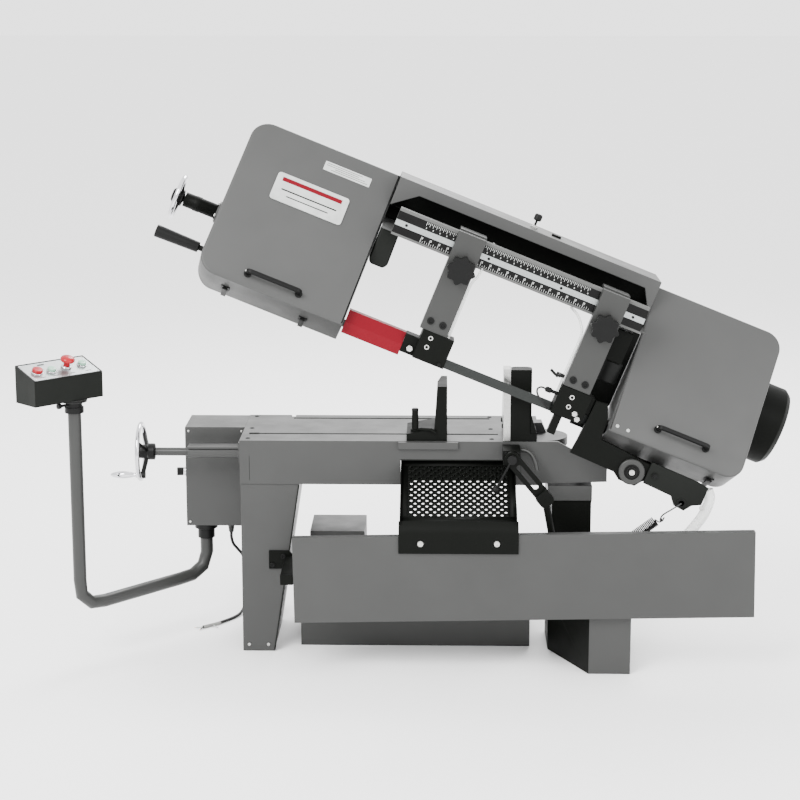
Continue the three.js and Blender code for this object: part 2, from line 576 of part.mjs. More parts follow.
function makeWheels() {
  for (const [name, x] of [['idler_wheel', idlerX], ['drive_wheel', driveX]]) {
    const body = turned(wheelProfile(wheel.axle + gap), wheelSides).translate(x, 0, wheel.v);
    const shaft = bar('y', wheel.axle + 1, 47, 176, [x, wheel.v], 20);
    add(cases, name, carve(x === driveX ? [body, shaft] : [body]), 'castIron');
  }
  const v = wheel.v;
  const carriage = carve([
    block(idlerX - 42, idlerX + 42, caseDepth.shelfBack + gap, 140, v - 34, v + 34),
    bar('y', wheel.axle, 40, 116, [idlerX, v], 20),
  ], [bar('x', 9.3, idlerX - 60, idlerX - 10, [tensionDepth, v], 14)]);
  add(cases, 'idler_carriage', carriage, 'castIron');
  const tensionScrew = carve([
    bar('x', 9, -1480, idlerX - 30, [tensionDepth, v], 14),
    bar('x', 24, -1480, -1446, [tensionDepth, v], 20),
    new THREE.TorusGeometry(58, 7, 6, 22).rotateY(Math.PI / 2).translate(-1463, tensionDepth, v),
    block(-1468, -1458, tensionDepth - 5, tensionDepth + 5, v - 56, v + 56),
    block(-1468, -1458, tensionDepth - 56, tensionDepth + 56, v - 5, v + 5),
  ]);
  add(cases, 'tension_wheel', tensionScrew, 'blackPlastic');
  const housing = carve([
    bar('y', 62, caseDepth.shelfBack + gap, 160, [driveX, v], 24),
    block(20, 160, 158, 338, -88, 128),
  ], [
    block(32, 148, 170, 326, -76, 116),
    bar('y', wheel.axle + 1 + gap, 100, 177, [driveX, v], 20),
  ]);
  add(cases, 'gearbox', housing, 'castIron');
  const motor = { y: 240, z: 60, radius: 116, length: 236 };
  const shoulder = motor.length - 14;
  const cowl = motor.radius - 11;
  const profile = [
    [0, 0], [motor.radius, 0], [motor.radius, shoulder], [cowl, motor.length], [0, motor.length + 4],
  ];
  const drum = turned(profile, 32).rotateZ(-Math.PI / 2).translate(160 + gap, motor.y, motor.z);
  const boxOnMotor = block(190, 290, motor.y + 70, motor.y + 150, motor.z - 50, motor.z + 50);
  add(cases, 'motor', carve([drum, boxOnMotor]), 'darkPaint');
}

function makeCases() {
  const leftCorners = [leftCase.corner, 2, 2, leftCase.corner];
  const rightCorners = [2, rightCase.corner, rightCase.corner, 2];
  const carriageSlot = block(idlerX - 28, idlerX + 28, 100, 116, wheel.v - 18, wheel.v + 18);
  const tensionAxis = [tensionDepth, wheel.v];
  const flange = bar('x', 32, leftCase.left - 11, leftCase.left + 2, tensionAxis, 24);
  const barrel = bar('x', 20, leftCase.left - 108, leftCase.left - 10, tensionAxis, 20);
  const screwHole = bar('x', 9.3, leftCase.left - 120, leftCase.left + 6, tensionAxis, 14);
  // The lower back edge is cut away level, so that the case comes down over the bed.
  const bedClearance = block(leftCase.left - 1, leftCase.right + 1, headForward - 1.5, 200, -100, bed.top - pivot.z + 2)
    .translate(0, -lean.y, -lean.z)
    .rotateX(THREE.MathUtils.degToRad(lean.angle));
  const leftCuts = [carriageSlot, screwHole, bedClearance];
  makeCase('left_case', leftCase, leftCorners, leftCase.right, [flange, barrel], leftCuts);
  const shaftHole = bar('y', 30, 100, 116, [driveX, wheel.v], 24);
  makeCase('right_case', rightCase, rightCorners, rightCase.left, [], [shaftHole]);
  makeCover('left_cover', leftCase, leftCorners, leftCase.right);
  makeCover('right_cover', rightCase, rightCorners, rightCase.left);
  makeCoverHandle('left_cover_handle', -1202, -1038, -196);
  makeCoverHandle('right_cover_handle', 13, 172, -172);
  makeLatch('left_latch_1', -1240, leftCase);
  makeLatch('left_latch_2', -1010, leftCase);
  makeLatch('right_latch', 216, rightCase);
}

function makePullHandle() {
  const grip = carve([
    bar('x', 18, -1480, -1352, [98, -141], 20, 15),
    bar('x', 8, -1354, leftCase.left - gap, [98, -141], 14),
  ]);
  add(cases, 'pull_handle', grip, 'blackPlastic');
}

// ---- head: blade and guides ---------------------------------------------------------------------

// The blade runs round both wheels, and turns upright between the guides along its lower run.
function makeBlade() {
  const centreV = wheel.v;
  const stations = [];
  const straight = (x, z, twist) => stations.push({ x, z, out: z < centreV ? -1 : 1, side: 0, twist });
  const arc = (centreX, from, to, steps) => {
    for (let i = 0; i <= steps; i += 1) {
      const angle = from + ((to - from) * i) / steps;
      stations.push({
        x: centreX + blade.radius * Math.cos(angle),
        z: centreV + blade.radius * Math.sin(angle),
        out: Math.sin(angle),
        side: Math.cos(angle),
        twist: 0,
      });
    }
  };
  const lowZ = centreV - blade.radius;
  const fullTwist = -THREE.MathUtils.degToRad(90 - lean.angle);
  arc(idlerX, Math.PI / 2, (Math.PI * 3) / 2, wheelSides / 2);
  const leftTwist = [idlerX + 20, leftArmX];
  const rightTwist = [rightArmX + 92, driveX - 20];
  const steps = 12;
  for (let i = 0; i <= steps; i += 1) {
    straight(leftTwist[0] + ((leftTwist[1] - leftTwist[0]) * i) / steps, lowZ, (fullTwist * i) / steps);
  }
  for (let i = 0; i <= steps; i += 1) {
    straight(rightTwist[0] + ((rightTwist[1] - rightTwist[0]) * i) / steps, lowZ, fullTwist * (1 - i / steps));
  }
  arc(driveX, -Math.PI / 2, Math.PI / 2, wheelSides / 2);

  const positions = [];
  for (const s of stations) {
    const normal = new THREE.Vector3(s.side, 0, s.out);
    const width = new THREE.Vector3(0, 1, 0);
    const run = new THREE.Vector3().crossVectors(normal, width);
    normal.applyAxisAngle(run, s.twist);
    width.applyAxisAngle(run, s.twist);
    for (const [a, b] of [[-1, -1], [1, -1], [1, 1], [-1, 1]]) {
      const corner = new THREE.Vector3(s.x, wheel.depth, s.z);
      corner.addScaledVector(normal, (a * blade.thickness) / 2);
      corner.addScaledVector(width, (b * blade.width) / 2);
      positions.push(...corner.toArray());
    }
  }
  // The inner and the outer face are split along the same diagonal, so the twisted strip keeps its thickness.
  const index = [];
  const count = stations.length;
  for (let i = 0; i < count; i += 1) {
    const next = (i + 1) % count;
    for (let c = 0; c < 4; c += 1) {
      const d = (c + 1) % 4;
      const [near, nearNext, far, farNext] = [i * 4 + c, i * 4 + d, next * 4 + c, next * 4 + d];
      if (c === 3) index.push(near, nearNext, far, nearNext, farNext, far);
      else index.push(near, farNext, far, near, nearNext, farNext);
    }
  }
  const geometry = new THREE.BufferGeometry();
  geometry.setAttribute('position', new THREE.BufferAttribute(new Float32Array(positions), 3));
  geometry.setIndex(index);
  add(cases, 'blade', geometry, 'bladeSteel');
}

function makeGuide(side, x, knobX, blockX, armScrews) {
  const plate = block(x, x + arm.width, arm.front, arm.back, arm.bottom, arm.top);
  const studHole = bar('y', 8.3, arm.front - 1, arm.back + 1, [knobX, 346], 16);
  add(head, `${side}_guide_arm`, carve([plate], [studHole]), 'greyPaint');
  const lobes = new THREE.Shape();
  const points = 40;
  for (let i = 0; i < points; i += 1) {
    const angle = (i / points) * Math.PI * 2;
    const radius = 37 + 4.5 * Math.cos(angle * 8);
    const px = knobX + radius * Math.cos(angle);
    const pz = 346 + radius * Math.sin(angle);
    if (i === 0) lobes.moveTo(px, pz);
    else lobes.lineTo(px, pz);
  }
  const knob = carve([
    plateXZ(lobes, -92, -70),
    bar('y', 17, -71, arm.front - gap, [knobX, 346], 16),
    bar('y', 8, arm.front - 1, arm.back - 4, [knobX, 346], 14),
  ]);
  add(head, `${side}_arm_knob`, knob, 'blackPlastic');
  const bladeSlot = block(blockX[0] - 40, blockX[1] + 40, -18, -13.6, 40, 97);
  const bodies = armScrews.map((b) => block(...b));
  const body = block(...blockX, -62, 6, 70, arm.bottom - gap);
  add(head, `${side}_guide_block`, carve([body, ...bodies], [bladeSlot]), 'darkPaint');
}

function makeGuides() {
  makeGuide('left', leftArmX, -657, [-690, -598], [[-728, -688, -46, 4, 70, 124]]);
  makeGuide('right', rightArmX, -231, [-276, -184], [[-190, -172, -50, 4, 100, 150], [-262, -240, -58, -30, 14, 76]]);
  const guard = outline([
    [6, 122], [-24, 122], [-47, 90], [-47, 58], [-45, 58], [-45, 89], [-23, 120], [6, 120],
  ]);
  add(head, 'blade_guard', sectionYZ(guard, -898, -728 - gap), 'redPaint');
  const brush = carve([
    bar('y', 25, -33, -4, [-146, 38], 20),
    bar('y', 9, -42 + gap, -32, [-146, 38], 12),
  ]);
  add(head, 'chip_brush', brush, 'steel');
}

// ---- mains lead ---------------------------------------------------------------------------------

const lead = { radius: 4.5, coilX: -538, coilY: 388, coilRadius: 50, across: 2, layers: 3 };

// From the gland, down behind the leg to the foot of the coil.
const leadDrop = [
  [-622, 262, 285.7], [-622, 262, 268], [-617, 269, 246], [-606, 284, 226], [-594, 300, 204], [-586, 310, 176],
  [-584, 316, 144], [-584, 319, 110], [-583, 321, 76], [-578, 322.4, 46], [-566, 323.3, 22], [-552, 323.8, 9.5],
  [-540, 323.9, 4.9],
];

// From the top of the coil, down to the floor and out to the bare end.
const leadEnd = [
  [-597.2, 363.4, 18], [-601, 345, 11.5], [-608, 326, 6.8], [-618, 306, 4.9], [-632, 282, 4.9], [-648, 260, 4.9],
  [-667, 238, 4.9], [-687, 219, 4.9], [-706, 203, 4.9],
];

function makeLead() {
  add(base, 'mains_lead', pipe(leadDrop, lead.radius, 8, 16), 'rubber');
  add(base, 'mains_lead_end', pipe(leadEnd, lead.radius, 8, 10), 'rubber');
  const inner = lead.coilRadius - lead.radius * lead.across - gap;
  const outer = lead.coilRadius + lead.radius * lead.across + gap;
  const high = gap + lead.radius * 2 * lead.layers;
  const ring = turned([[inner, gap], [outer, gap], [outer, high], [inner, high], [inner, gap]], 24);
  add(base, 'mains_lead_coil', ring.rotateX(Math.PI / 2).translate(lead.coilX, lead.coilY, 0), 'rubber');
}

makeBed();
makeStand();
makeCoolantParts();
makeElectricalBox();
makeConsole();
makeVise();
makeWorkStop();
makeSwivel();
makeSpring();
makeHeadFrame();
makeCases();
makeWheels();
makePullHandle();
makeBlade();
makeGuides();
makeLead();

export default saw;
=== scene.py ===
"""A horizontal mitring band saw: the looks of its pieces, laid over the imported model.

Places are in millimetres in five sets of axes taken from the frame: the bench, the tilted head, the
wheel cases that lean back on it, and the console's post and deck. Metres in Blender, +Z up.
"""
import json
import math

import bmesh
import bpy
from mathutils import Matrix, Vector


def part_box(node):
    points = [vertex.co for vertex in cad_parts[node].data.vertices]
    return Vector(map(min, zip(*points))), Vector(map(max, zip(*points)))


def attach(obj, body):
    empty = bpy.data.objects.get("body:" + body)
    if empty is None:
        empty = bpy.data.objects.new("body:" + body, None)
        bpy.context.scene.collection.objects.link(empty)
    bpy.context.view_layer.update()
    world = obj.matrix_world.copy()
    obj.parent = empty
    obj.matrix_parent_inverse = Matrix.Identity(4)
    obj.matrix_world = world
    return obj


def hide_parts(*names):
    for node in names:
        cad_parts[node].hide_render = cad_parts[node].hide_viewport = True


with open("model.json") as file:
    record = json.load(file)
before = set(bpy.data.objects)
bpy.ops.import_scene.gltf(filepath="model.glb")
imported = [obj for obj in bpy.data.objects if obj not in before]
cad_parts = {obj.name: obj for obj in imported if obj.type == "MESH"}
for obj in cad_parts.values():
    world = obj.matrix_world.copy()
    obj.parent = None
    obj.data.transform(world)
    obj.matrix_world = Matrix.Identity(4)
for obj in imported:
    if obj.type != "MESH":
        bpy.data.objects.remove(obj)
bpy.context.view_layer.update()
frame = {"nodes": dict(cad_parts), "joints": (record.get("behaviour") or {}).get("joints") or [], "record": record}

MM = 0.001
JOINTS = {joint["name"]: joint for joint in frame["joints"]}
BODY_OF = {node: body for body, nodes in frame["record"]["behaviour"]["bodies"].items() for node in nodes}


# ---- axes ---------------------------------------------------------------------------------------


class Axes:
    """A right-handed set of axes in millimetres, given by its origin in metres and its x and z."""

    def __init__(self, origin, x, z):
        self.x = Vector(x).normalized()
        self.z = Vector(z).normalized()
        self.y = self.z.cross(self.x)
        self.matrix = Matrix((self.x, self.y, self.z)).transposed().to_4x4()
        self.matrix.translation = origin

    def at(self, x, y, z):
        return self.matrix @ (Vector((x, y, z)) * MM)


bed_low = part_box("bed")[0]
bearing_reach = 0.725
bench = Axes((bed_low.x + bearing_reach, bed_low.y, 0), (1, 0, 0), (0, 0, 1))

along = Vector(JOINTS["left_arm_slide"]["axis"])
pivot = Vector(JOINTS["head_lift"]["pos_m"])
arm_face = -58
head = Axes(
    (pivot.x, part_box("left_guide_arm")[0].y - arm_face * MM, pivot.z), along, along.cross(Vector((0, 1, 0)))
)
lean = Axes(head.at(0, 28.3, 285.8), along, JOINTS["left_latch_1_turn"]["axis"])

press = -Vector(JOINTS["stop_press"]["axis"])
console_post = Vector(JOINTS["console_turn"]["pos_m"])
console_side = Vector((-press.y, press.x, 0)).normalized()
DECK = {"left": -144, "front": -26, "front_height": 70, "width": 224, "length": 99.3}
post = Axes(console_post, console_side, (0, 0, 1))
deck = Axes(post.at(DECK["left"], DECK["front"], DECK["front_height"]), console_side, press)


# ---- camera, light and floor --------------------------------------------------------------------


def make_camera():
    data = bpy.data.cameras.new("camera")
    data.lens = 90
    data.sensor_width = 36
    data.clip_end = 200
    camera = bpy.data.objects.new("camera", data)
    pitch = math.radians(12)
    turn = math.atan(0.02)
    forward = Vector((-math.sin(turn) * math.cos(pitch), math.cos(turn) * math.cos(pitch), -math.sin(pitch)))
    camera.matrix_world = forward.to_track_quat("-Z", "Y").to_matrix().to_4x4()
    camera.location = bench.at(0, -5520, 1921)
    bpy.context.scene.collection.objects.link(camera)
    bpy.context.scene.camera = camera


def add_area_light(name, place, target, size, power):
    data = bpy.data.lights.new(name, "AREA")
    data.shape = "DISK"
    data.size = size
    data.energy = power
    light = bpy.data.objects.new(name, data)
    light.location = place
    light.rotation_euler = (Vector(target) - Vector(place)).to_track_quat("-Z", "Y").to_euler()
    bpy.context.scene.collection.objects.link(light)


def make_light_and_floor():
    world = bpy.data.worlds.new("studio")
    world.use_nodes = True
    world.node_tree.nodes["Background"].inputs["Color"].default_value = (1, 1, 1, 1)
    world.node_tree.nodes["Background"].inputs["Strength"].default_value = 2.6
    bpy.context.scene.world = world
    add_area_light("key", (-2.6, -4.2, 4.6), (0, 0, 0.7), 3.0, 520)
    add_area_light("fill", (3.8, -3.6, 2.4), (0.2, 0, 0.6), 2.5, 110)
    add_area_light("rim", (0.5, 3.2, 4.0), (0, 0, 0.7), 2.5, 260)
    mesh = bpy.data.meshes.new("floor")
    size = 60
    mesh.from_pydata([(-size, -size, 0), (size, -size, 0), (size, size, 0), (-size, size, 0)], [], [(0, 1, 2, 3)])
    floor = bpy.data.objects.new("floor", mesh)
    floor.location.z = -0.0005
    bpy.context.scene.collection.objects.link(floor)
    material = bpy.data.materials.new("floor")
    material.use_nodes = True
    shader = material.node_tree.nodes["Principled BSDF"]
    shader.inputs["Base Color"].default_value = (0.93, 0.93, 0.93, 1)
    shader.inputs["Roughness"].default_value = 0.9
    mesh.materials.append(material)


# ---- materials ----------------------------------------------------------------------------------


def new_material(name, slot, color, roughness, metallic=0.0):
    material = bpy.data.materials.new(name)
    material.use_nodes = True
    shader = material.node_tree.nodes["Principled BSDF"]
    shader.inputs["Base Color"].default_value = (*color, 1)
    shader.inputs["Roughness"].default_value = roughness
    shader.inputs["Metallic"].default_value = metallic
    material["slot"] = slot
    return material


def noise_node(material, scale, detail=2.0, stretch=(1, 1, 1)):
    """Noise in the object's own coordinates, which are metres. Scale is in cells per metre."""
    nodes, links = material.node_tree.nodes, material.node_tree.links
    place = nodes.new("ShaderNodeTexCoord")
    mapping = nodes.new("ShaderNodeMapping")
    mapping.inputs["Scale"].default_value = stretch
    noise = nodes.new("ShaderNodeTexNoise")
    noise.inputs["Scale"].default_value = scale
    noise.inputs["Detail"].default_value = detail
    links.new(place.outputs["Object"], mapping.inputs["Vector"])
    links.new(mapping.outputs["Vector"], noise.inputs["Vector"])
    return noise


def vary_color(material, scale, low, high, detail=3.0, stretch=(1, 1, 1)):
    """The base colour drifts between two shares of itself."""
    nodes, links = material.node_tree.nodes, material.node_tree.links
    shader = nodes["Principled BSDF"]
    color = Vector(shader.inputs["Base Color"].default_value[:3])
    ramp = nodes.new("ShaderNodeValToRGB")
    ramp.color_ramp.elements[0].position = 0.3
    ramp.color_ramp.elements[1].position = 0.7
    ramp.color_ramp.elements[0].color = (*(color * low), 1)
    ramp.color_ramp.elements[1].color = (*(color * high), 1)
    links.new(noise_node(material, scale, detail, stretch).outputs["Fac"], ramp.inputs["Fac"])
    links.new(ramp.outputs["Color"], shader.inputs["Base Color"])


def vary_roughness(material, scale, low, high, stretch=(1, 1, 1)):
    nodes, links = material.node_tree.nodes, material.node_tree.links
    span = nodes.new("ShaderNodeMapRange")
    span.inputs["From Min"].default_value = 0.3
    span.inputs["From Max"].default_value = 0.7
    span.inputs["To Min"].default_value = low
    span.inputs["To Max"].default_value = high
    links.new(noise_node(material, scale, 3.0, stretch).outputs["Fac"], span.inputs["Value"])
    links.new(span.outputs["Result"], nodes["Principled BSDF"].inputs["Roughness"])


def add_bump(material, scale, depth, detail=2.0, stretch=(1, 1, 1)):
    """Fine relief of the given depth in millimetres."""
    nodes, links = material.node_tree.nodes, material.node_tree.links
    bump = nodes.new("ShaderNodeBump")
    bump.inputs["Strength"].default_value = 1
    bump.inputs["Distance"].default_value = depth * MM
    links.new(noise_node(material, scale, detail, stretch).outputs["Fac"], bump.inputs["Height"])
    links.new(bump.outputs["Normal"], nodes["Principled BSDF"].inputs["Normal"])


def powder_coat(name, slot, color, roughness, peel=0.12, gloss=0.3):
    material = new_material(name, slot, color, roughness)
    material.node_tree.nodes["Principled BSDF"].inputs["Specular IOR Level"].default_value = gloss
    vary_color(material, 5, 0.95, 1.05)
    vary_roughness(material, 14, roughness - 0.06, roughness + 0.08)
    add_bump(material, 520, peel)
    return material


def turned_metal(name, slot, color, roughness, grain, depth, stretch=(1, 1, 1)):
    material = new_material(name, slot, color, roughness, 1.0)
    vary_color(material, grain, 0.85, 1.1, 4, stretch)
    vary_roughness(material, grain * 0.6, roughness - 0.06, roughness + 0.1, stretch)
    add_bump(material, grain, depth, 3, stretch)
    return material


def moulded_plastic(name, slot, color, roughness, texture=0.06, gloss=0.3):
    material = new_material(name, slot, color, roughness)
    material.node_tree.nodes["Principled BSDF"].inputs["Specular IOR Level"].default_value = gloss
    vary_color(material, 30, 0.9, 1.12)
    vary_roughness(material, 60, roughness - 0.05, roughness + 0.07)
    add_bump(material, 1400, texture)
    return material


def clear_material(name, slot, color, roughness, transmission):
    material = new_material(name, slot, color, roughness)
    shader = material.node_tree.nodes["Principled BSDF"]
    shader.inputs["Transmission Weight"].default_value = transmission
    shader.inputs["IOR"].default_value = 1.4
    vary_roughness(material, 40, roughness, roughness + 0.12)
    add_bump(material, 90, 0.3)
    return material


GREY = powder_coat("grey_powder_coat", "grey_paint", (0.042, 0.0425, 0.0415), 0.42)
BED_GREY = powder_coat("bed_grey_coat", "grey_paint", (0.030, 0.0305, 0.0295), 0.42)
LIGHT_GREY = powder_coat("light_grey_coat", "grey_paint", (0.07, 0.071, 0.069), 0.4)
ARM_GREY = powder_coat("arm_grey_coat", "grey_paint", (0.022, 0.0225, 0.0215), 0.4)
BLACK_COAT = powder_coat("black_powder_coat", "dark_paint", (0.0024, 0.0028, 0.0022), 0.5, 0.18, 0.06)
DARK_GREY = powder_coat("dark_grey_coat", "dark_paint", (0.0052, 0.0060, 0.0050), 0.5, 0.15, 0.1)
IRON = powder_coat("painted_iron", "cast_iron", (0.028, 0.029, 0.028), 0.5, 0.35)
DARK_IRON = powder_coat("dark_iron", "cast_iron", (0.004, 0.0043, 0.004), 0.55, 0.35, 0.12)
STEEL = turned_metal("ground_steel", "steel", (0.42, 0.42, 0.41), 0.3, 260, 0.02, (1, 6, 1))
ZINC = turned_metal("zinc_plate", "steel", (0.55, 0.55, 0.53), 0.28, 420, 0.02)
BLADE_STEEL = turned_metal("blade_steel", "blade_steel", (0.03, 0.032, 0.031), 0.34, 300, 0.03, (1, 4, 4))
CHROME = turned_metal("polished_chrome", "chrome", (0.62, 0.62, 0.64), 0.07, 30, 0.02)
BLACK_PLASTIC = moulded_plastic("black_plastic", "black_plastic", (0.0025, 0.0026, 0.0025), 0.42, 0.06, 0.14)
GLOSS_BLACK = moulded_plastic("gloss_black_plastic", "black_plastic", (0.002, 0.002, 0.002), 0.25, 0.02, 0.14)
RED_PLASTIC = moulded_plastic("red_plastic", "red_plastic", (0.28, 0.0016, 0.008), 0.24, 0.02)
RED_COAT = powder_coat("red_powder_coat", "red_paint", (0.12, 0.0010, 0.0065), 0.36, 0.12, 0.12)
RUBBER = moulded_plastic("cable_sheath", "rubber", (0.008, 0.008, 0.008), 0.6, 0.1)
GREY_SHEATH = moulded_plastic("grey_sheath", "rubber", (0.22, 0.22, 0.21), 0.55, 0.08)
WHITE_PLATE = moulded_plastic("white_plate", "steel", (0.42, 0.43, 0.42), 0.3, 0.02)
SILVER_PLATE = turned_metal("anodised_plate", "steel", (0.36, 0.38, 0.38), 0.36, 700, 0.01, (1, 8, 1))
CLEAR_HOSE = clear_material("clear_hose", "clear_hose", (0.86, 0.87, 0.85), 0.22, 0.55)
GREEN_LENS = clear_material("green_lens", "clear_plastic", (0.45, 0.72, 0.56), 0.12, 0.5)
COPPER = turned_metal("bare_copper", "steel", (0.70, 0.42, 0.28), 0.3, 900, 0.02)


# ---- mesh building ------------------------------------------------------------------------------


class Shape:
    """Closed forms gathered into one mesh, in millimetres in one set of axes."""

    def __init__(self, axes):
        self.axes = axes
        self.mesh = bmesh.new()

    def box(self, x0, x1, y0, y1, z0, z1):
        corners = [self.mesh.verts.new((x, y, z)) for x in (x0, x1) for y in (y0, y1) for z in (z0, z1)]
        for face in ((0, 1, 3, 2), (4, 6, 7, 5), (0, 4, 5, 1), (2, 3, 7, 6), (0, 2, 6, 4), (1, 5, 7, 3)):
            self.mesh.faces.new([corners[i] for i in face])
        return self

    def turn(self, axis, centre, profile, sides=40, start=0.0):
        """A round body about a line along x, y or z through centre, from points of (radius, place)."""
        rings = []
        for radius, place in profile:
            count = sides if radius > 0 else 1
            ring = []
            for i in range(count):
                angle = start + 2 * math.pi * i / sides
                u = centre[0] + radius * math.cos(angle)
                v = centre[1] + radius * math.sin(angle)
                point = {"x": (place, u, v), "y": (u, place, v), "z": (u, v, place)}[axis]
                ring.append(self.mesh.verts.new(point))
            rings.append(ring)
        for a, b in zip(rings, rings[1:]):
            for i in range(sides):
                j = (i + 1) % sides
                if len(a) == 1:
                    self.mesh.faces.new((a[0], b[i], b[j]))
                elif len(b) == 1:
                    self.mesh.faces.new((a[i], b[0], a[j]))
                else:
                    self.mesh.faces.new((a[i], b[i], b[j], a[j]))
        for ring in (rings[0], rings[-1]):
            if len(ring) > 1:
                self.mesh.faces.new(ring)
        return self

    def rod(self, axis, radius, start, end, centre, sides=32):
        return self.turn(axis, centre, [(radius, start), (radius, end)], sides)

    def hoop(self, axis, radius, place, centre, thick, sides=64, section=14):
        """A ring of round section, such as a handwheel's rim."""
        rings = []
        for i in range(sides):
            angle = 2 * math.pi * i / sides
            ring = []
            for k in range(section):
                around = 2 * math.pi * k / section
                reach = radius + thick * math.cos(around)
                u = centre[0] + reach * math.cos(angle)
                v = centre[1] + reach * math.sin(angle)
                w = place + thick * math.sin(around)
                point = {"x": (w, u, v), "y": (u, w, v), "z": (u, v, w)}[axis]
                ring.append(self.mesh.verts.new(point))
            rings.append(ring)
        for i in range(sides):
            a, b = rings[i], rings[(i + 1) % sides]
            for k in range(section):
                n = (k + 1) % section
                self.mesh.faces.new((a[k], b[k], b[n], a[n]))
        return self

    def plate(self, outline, y0, y1, axis="y"):
        """A flat plate with its outline in the other two axes."""
        order = {"y": lambda a, b, c: (a, c, b), "x": lambda a, b, c: (c, a, b), "z": lambda a, b, c: (a, b, c)}
        near = [self.mesh.verts.new(order[axis](a, b, y0)) for a, b in outline]
        far = [self.mesh.verts.new(order[axis](a, b, y1)) for a, b in outline]
        self.mesh.faces.new(near)
        self.mesh.faces.new(far)
        count = len(outline)
        for i in range(count):
            j = (i + 1) % count
            self.mesh.faces.new((near[i], near[j], far[j], far[i]))
        return self

    def sweep(self, points, radius, sides=12):
        """A round bar along a list of points, with flat ends."""
        path = [Vector(p) for p in points]
        across = None
        rings = []
        for i, point in enumerate(path):
            before, after = path[max(i - 1, 0)], path[min(i + 1, len(path) - 1)]
            way = (after - before).normalized()
            across = way.orthogonal() if across is None else across - way * across.dot(way)
            across.normalize()
            other = way.cross(across)
            ring = []
            for k in range(sides):
                angle = 2 * math.pi * k / sides
                ring.append(self.mesh.verts.new(point + (across * math.cos(angle) + other * math.sin(angle)) * radius))
            rings.append(ring)
        for a, b in zip(rings, rings[1:]):
            for k in range(sides):
                n = (k + 1) % sides
                self.mesh.faces.new((a[k], b[k], b[n], a[n]))
        self.mesh.faces.new(rings[0])
        self.mesh.faces.new(rings[-1])
        return self

    def piece(self, name, body, material, bevel=0.0, segments=2, sharp=38):
        bmesh.ops.recalc_face_normals(self.mesh, faces=self.mesh.faces)
        self.mesh.transform(self.axes.matrix @ Matrix.Scale(MM, 4))
        data = bpy.data.meshes.new(name)
        self.mesh.to_mesh(data)
        self.mesh.free()
        return finish_piece(name, data, body, material, bevel, segments, sharp)


def finish_piece(name, data, body, material, bevel, segments=2, sharp=38):
    data.polygons.foreach_set("use_smooth", [True] * len(data.polygons))
    data.set_sharp_from_angle(angle=math.radians(sharp))
    data.materials.clear()
    data.materials.append(material)
    obj = bpy.data.objects.new(name, data)
    bpy.context.scene.collection.objects.link(obj)
    if bevel:
        modifier = obj.modifiers.new("edges", "BEVEL")
        modifier.width = bevel * MM
        modifier.segments = segments
        modifier.limit_method = "ANGLE"
        modifier.angle_limit = math.radians(35)
        modifier.harden_normals = True
    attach(obj, body)
    return obj


def round_edges(node, material, bevel, segments=2):
    """The CAD node's own shape with its edges rounded off, as bent sheet, castings and mouldings are."""
    work = bmesh.new()
    work.from_mesh(frame["nodes"][node].data)
    bmesh.ops.remove_doubles(work, verts=work.verts, dist=0.00002)
    bmesh.ops.dissolve_limit(work, angle_limit=math.radians(1), verts=work.verts, edges=work.edges)
    data = bpy.data.meshes.new(node + "_finished")
    work.to_mesh(data)
    work.free()
    piece = finish_piece(node + "_finished", data, BODY_OF[node], material, bevel, segments)
    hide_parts(node)
    return piece


def rounded_outline(x0, x1, z0, z1, radius, steps=6):
    points = []
    for cx, cz, start in ((x1 - radius, z0 + radius, -90), (x1 - radius, z1 - radius, 0),
                          (x0 + radius, z1 - radius, 90), (x0 + radius, z0 + radius, 180)):
        for i in range(steps + 1):
            angle = math.radians(start + 90 * i / steps)
            points.append((cx + radius * math.cos(angle), cz + radius * math.sin(angle)))
    return points


def socket_screws(name, axes, axis, face, way, centres, radius, height, body, material):
    """Cap screws with a hexagon socket, standing on a face; way is the side they stand out to."""
    heads = Shape(axes)
    for centre in centres:
        top = face + way * height
        heads.turn(axis, centre, [
            (radius, face), (radius, top - way * 0.8), (radius - 0.8, top), (radius * 0.55, top),
            (radius * 0.5, top - way * height * 0.5), (0, top - way * height * 0.5),
        ], 24)
    return heads.piece(name, body, material)


def dome_screws(name, axes, axis, face, way, centres, radius, body, material):
    heads = Shape(axes)
    for centre in centres:
        rise = radius * 0.55
        heads.turn(axis, centre, [
            (radius, face), (radius, face + way * rise * 0.3), (radius * 0.8, face + way * rise * 0.8),
            (radius * 0.35, face + way * rise), (radius * 0.3, face + way * rise * 0.5), (0, face + way * rise * 0.5),
        ], 24)
    return heads.piece(name, body, material)


def hex_nuts(name, axes, axis, face, way, centres, radius, height, body, material):
    nuts = Shape(axes)
    for centre in centres:
        nuts.turn(axis, centre, [(radius, face), (radius, face + way * height)], 6)
        nuts.turn(axis, centre, [(radius * 0.5, face), (radius * 0.5, face + way * height * 1.5)], 20)
    return nuts.piece(name, body, material, 0.4)


# ---- mains lead ---------------------------------------------------------------------------------

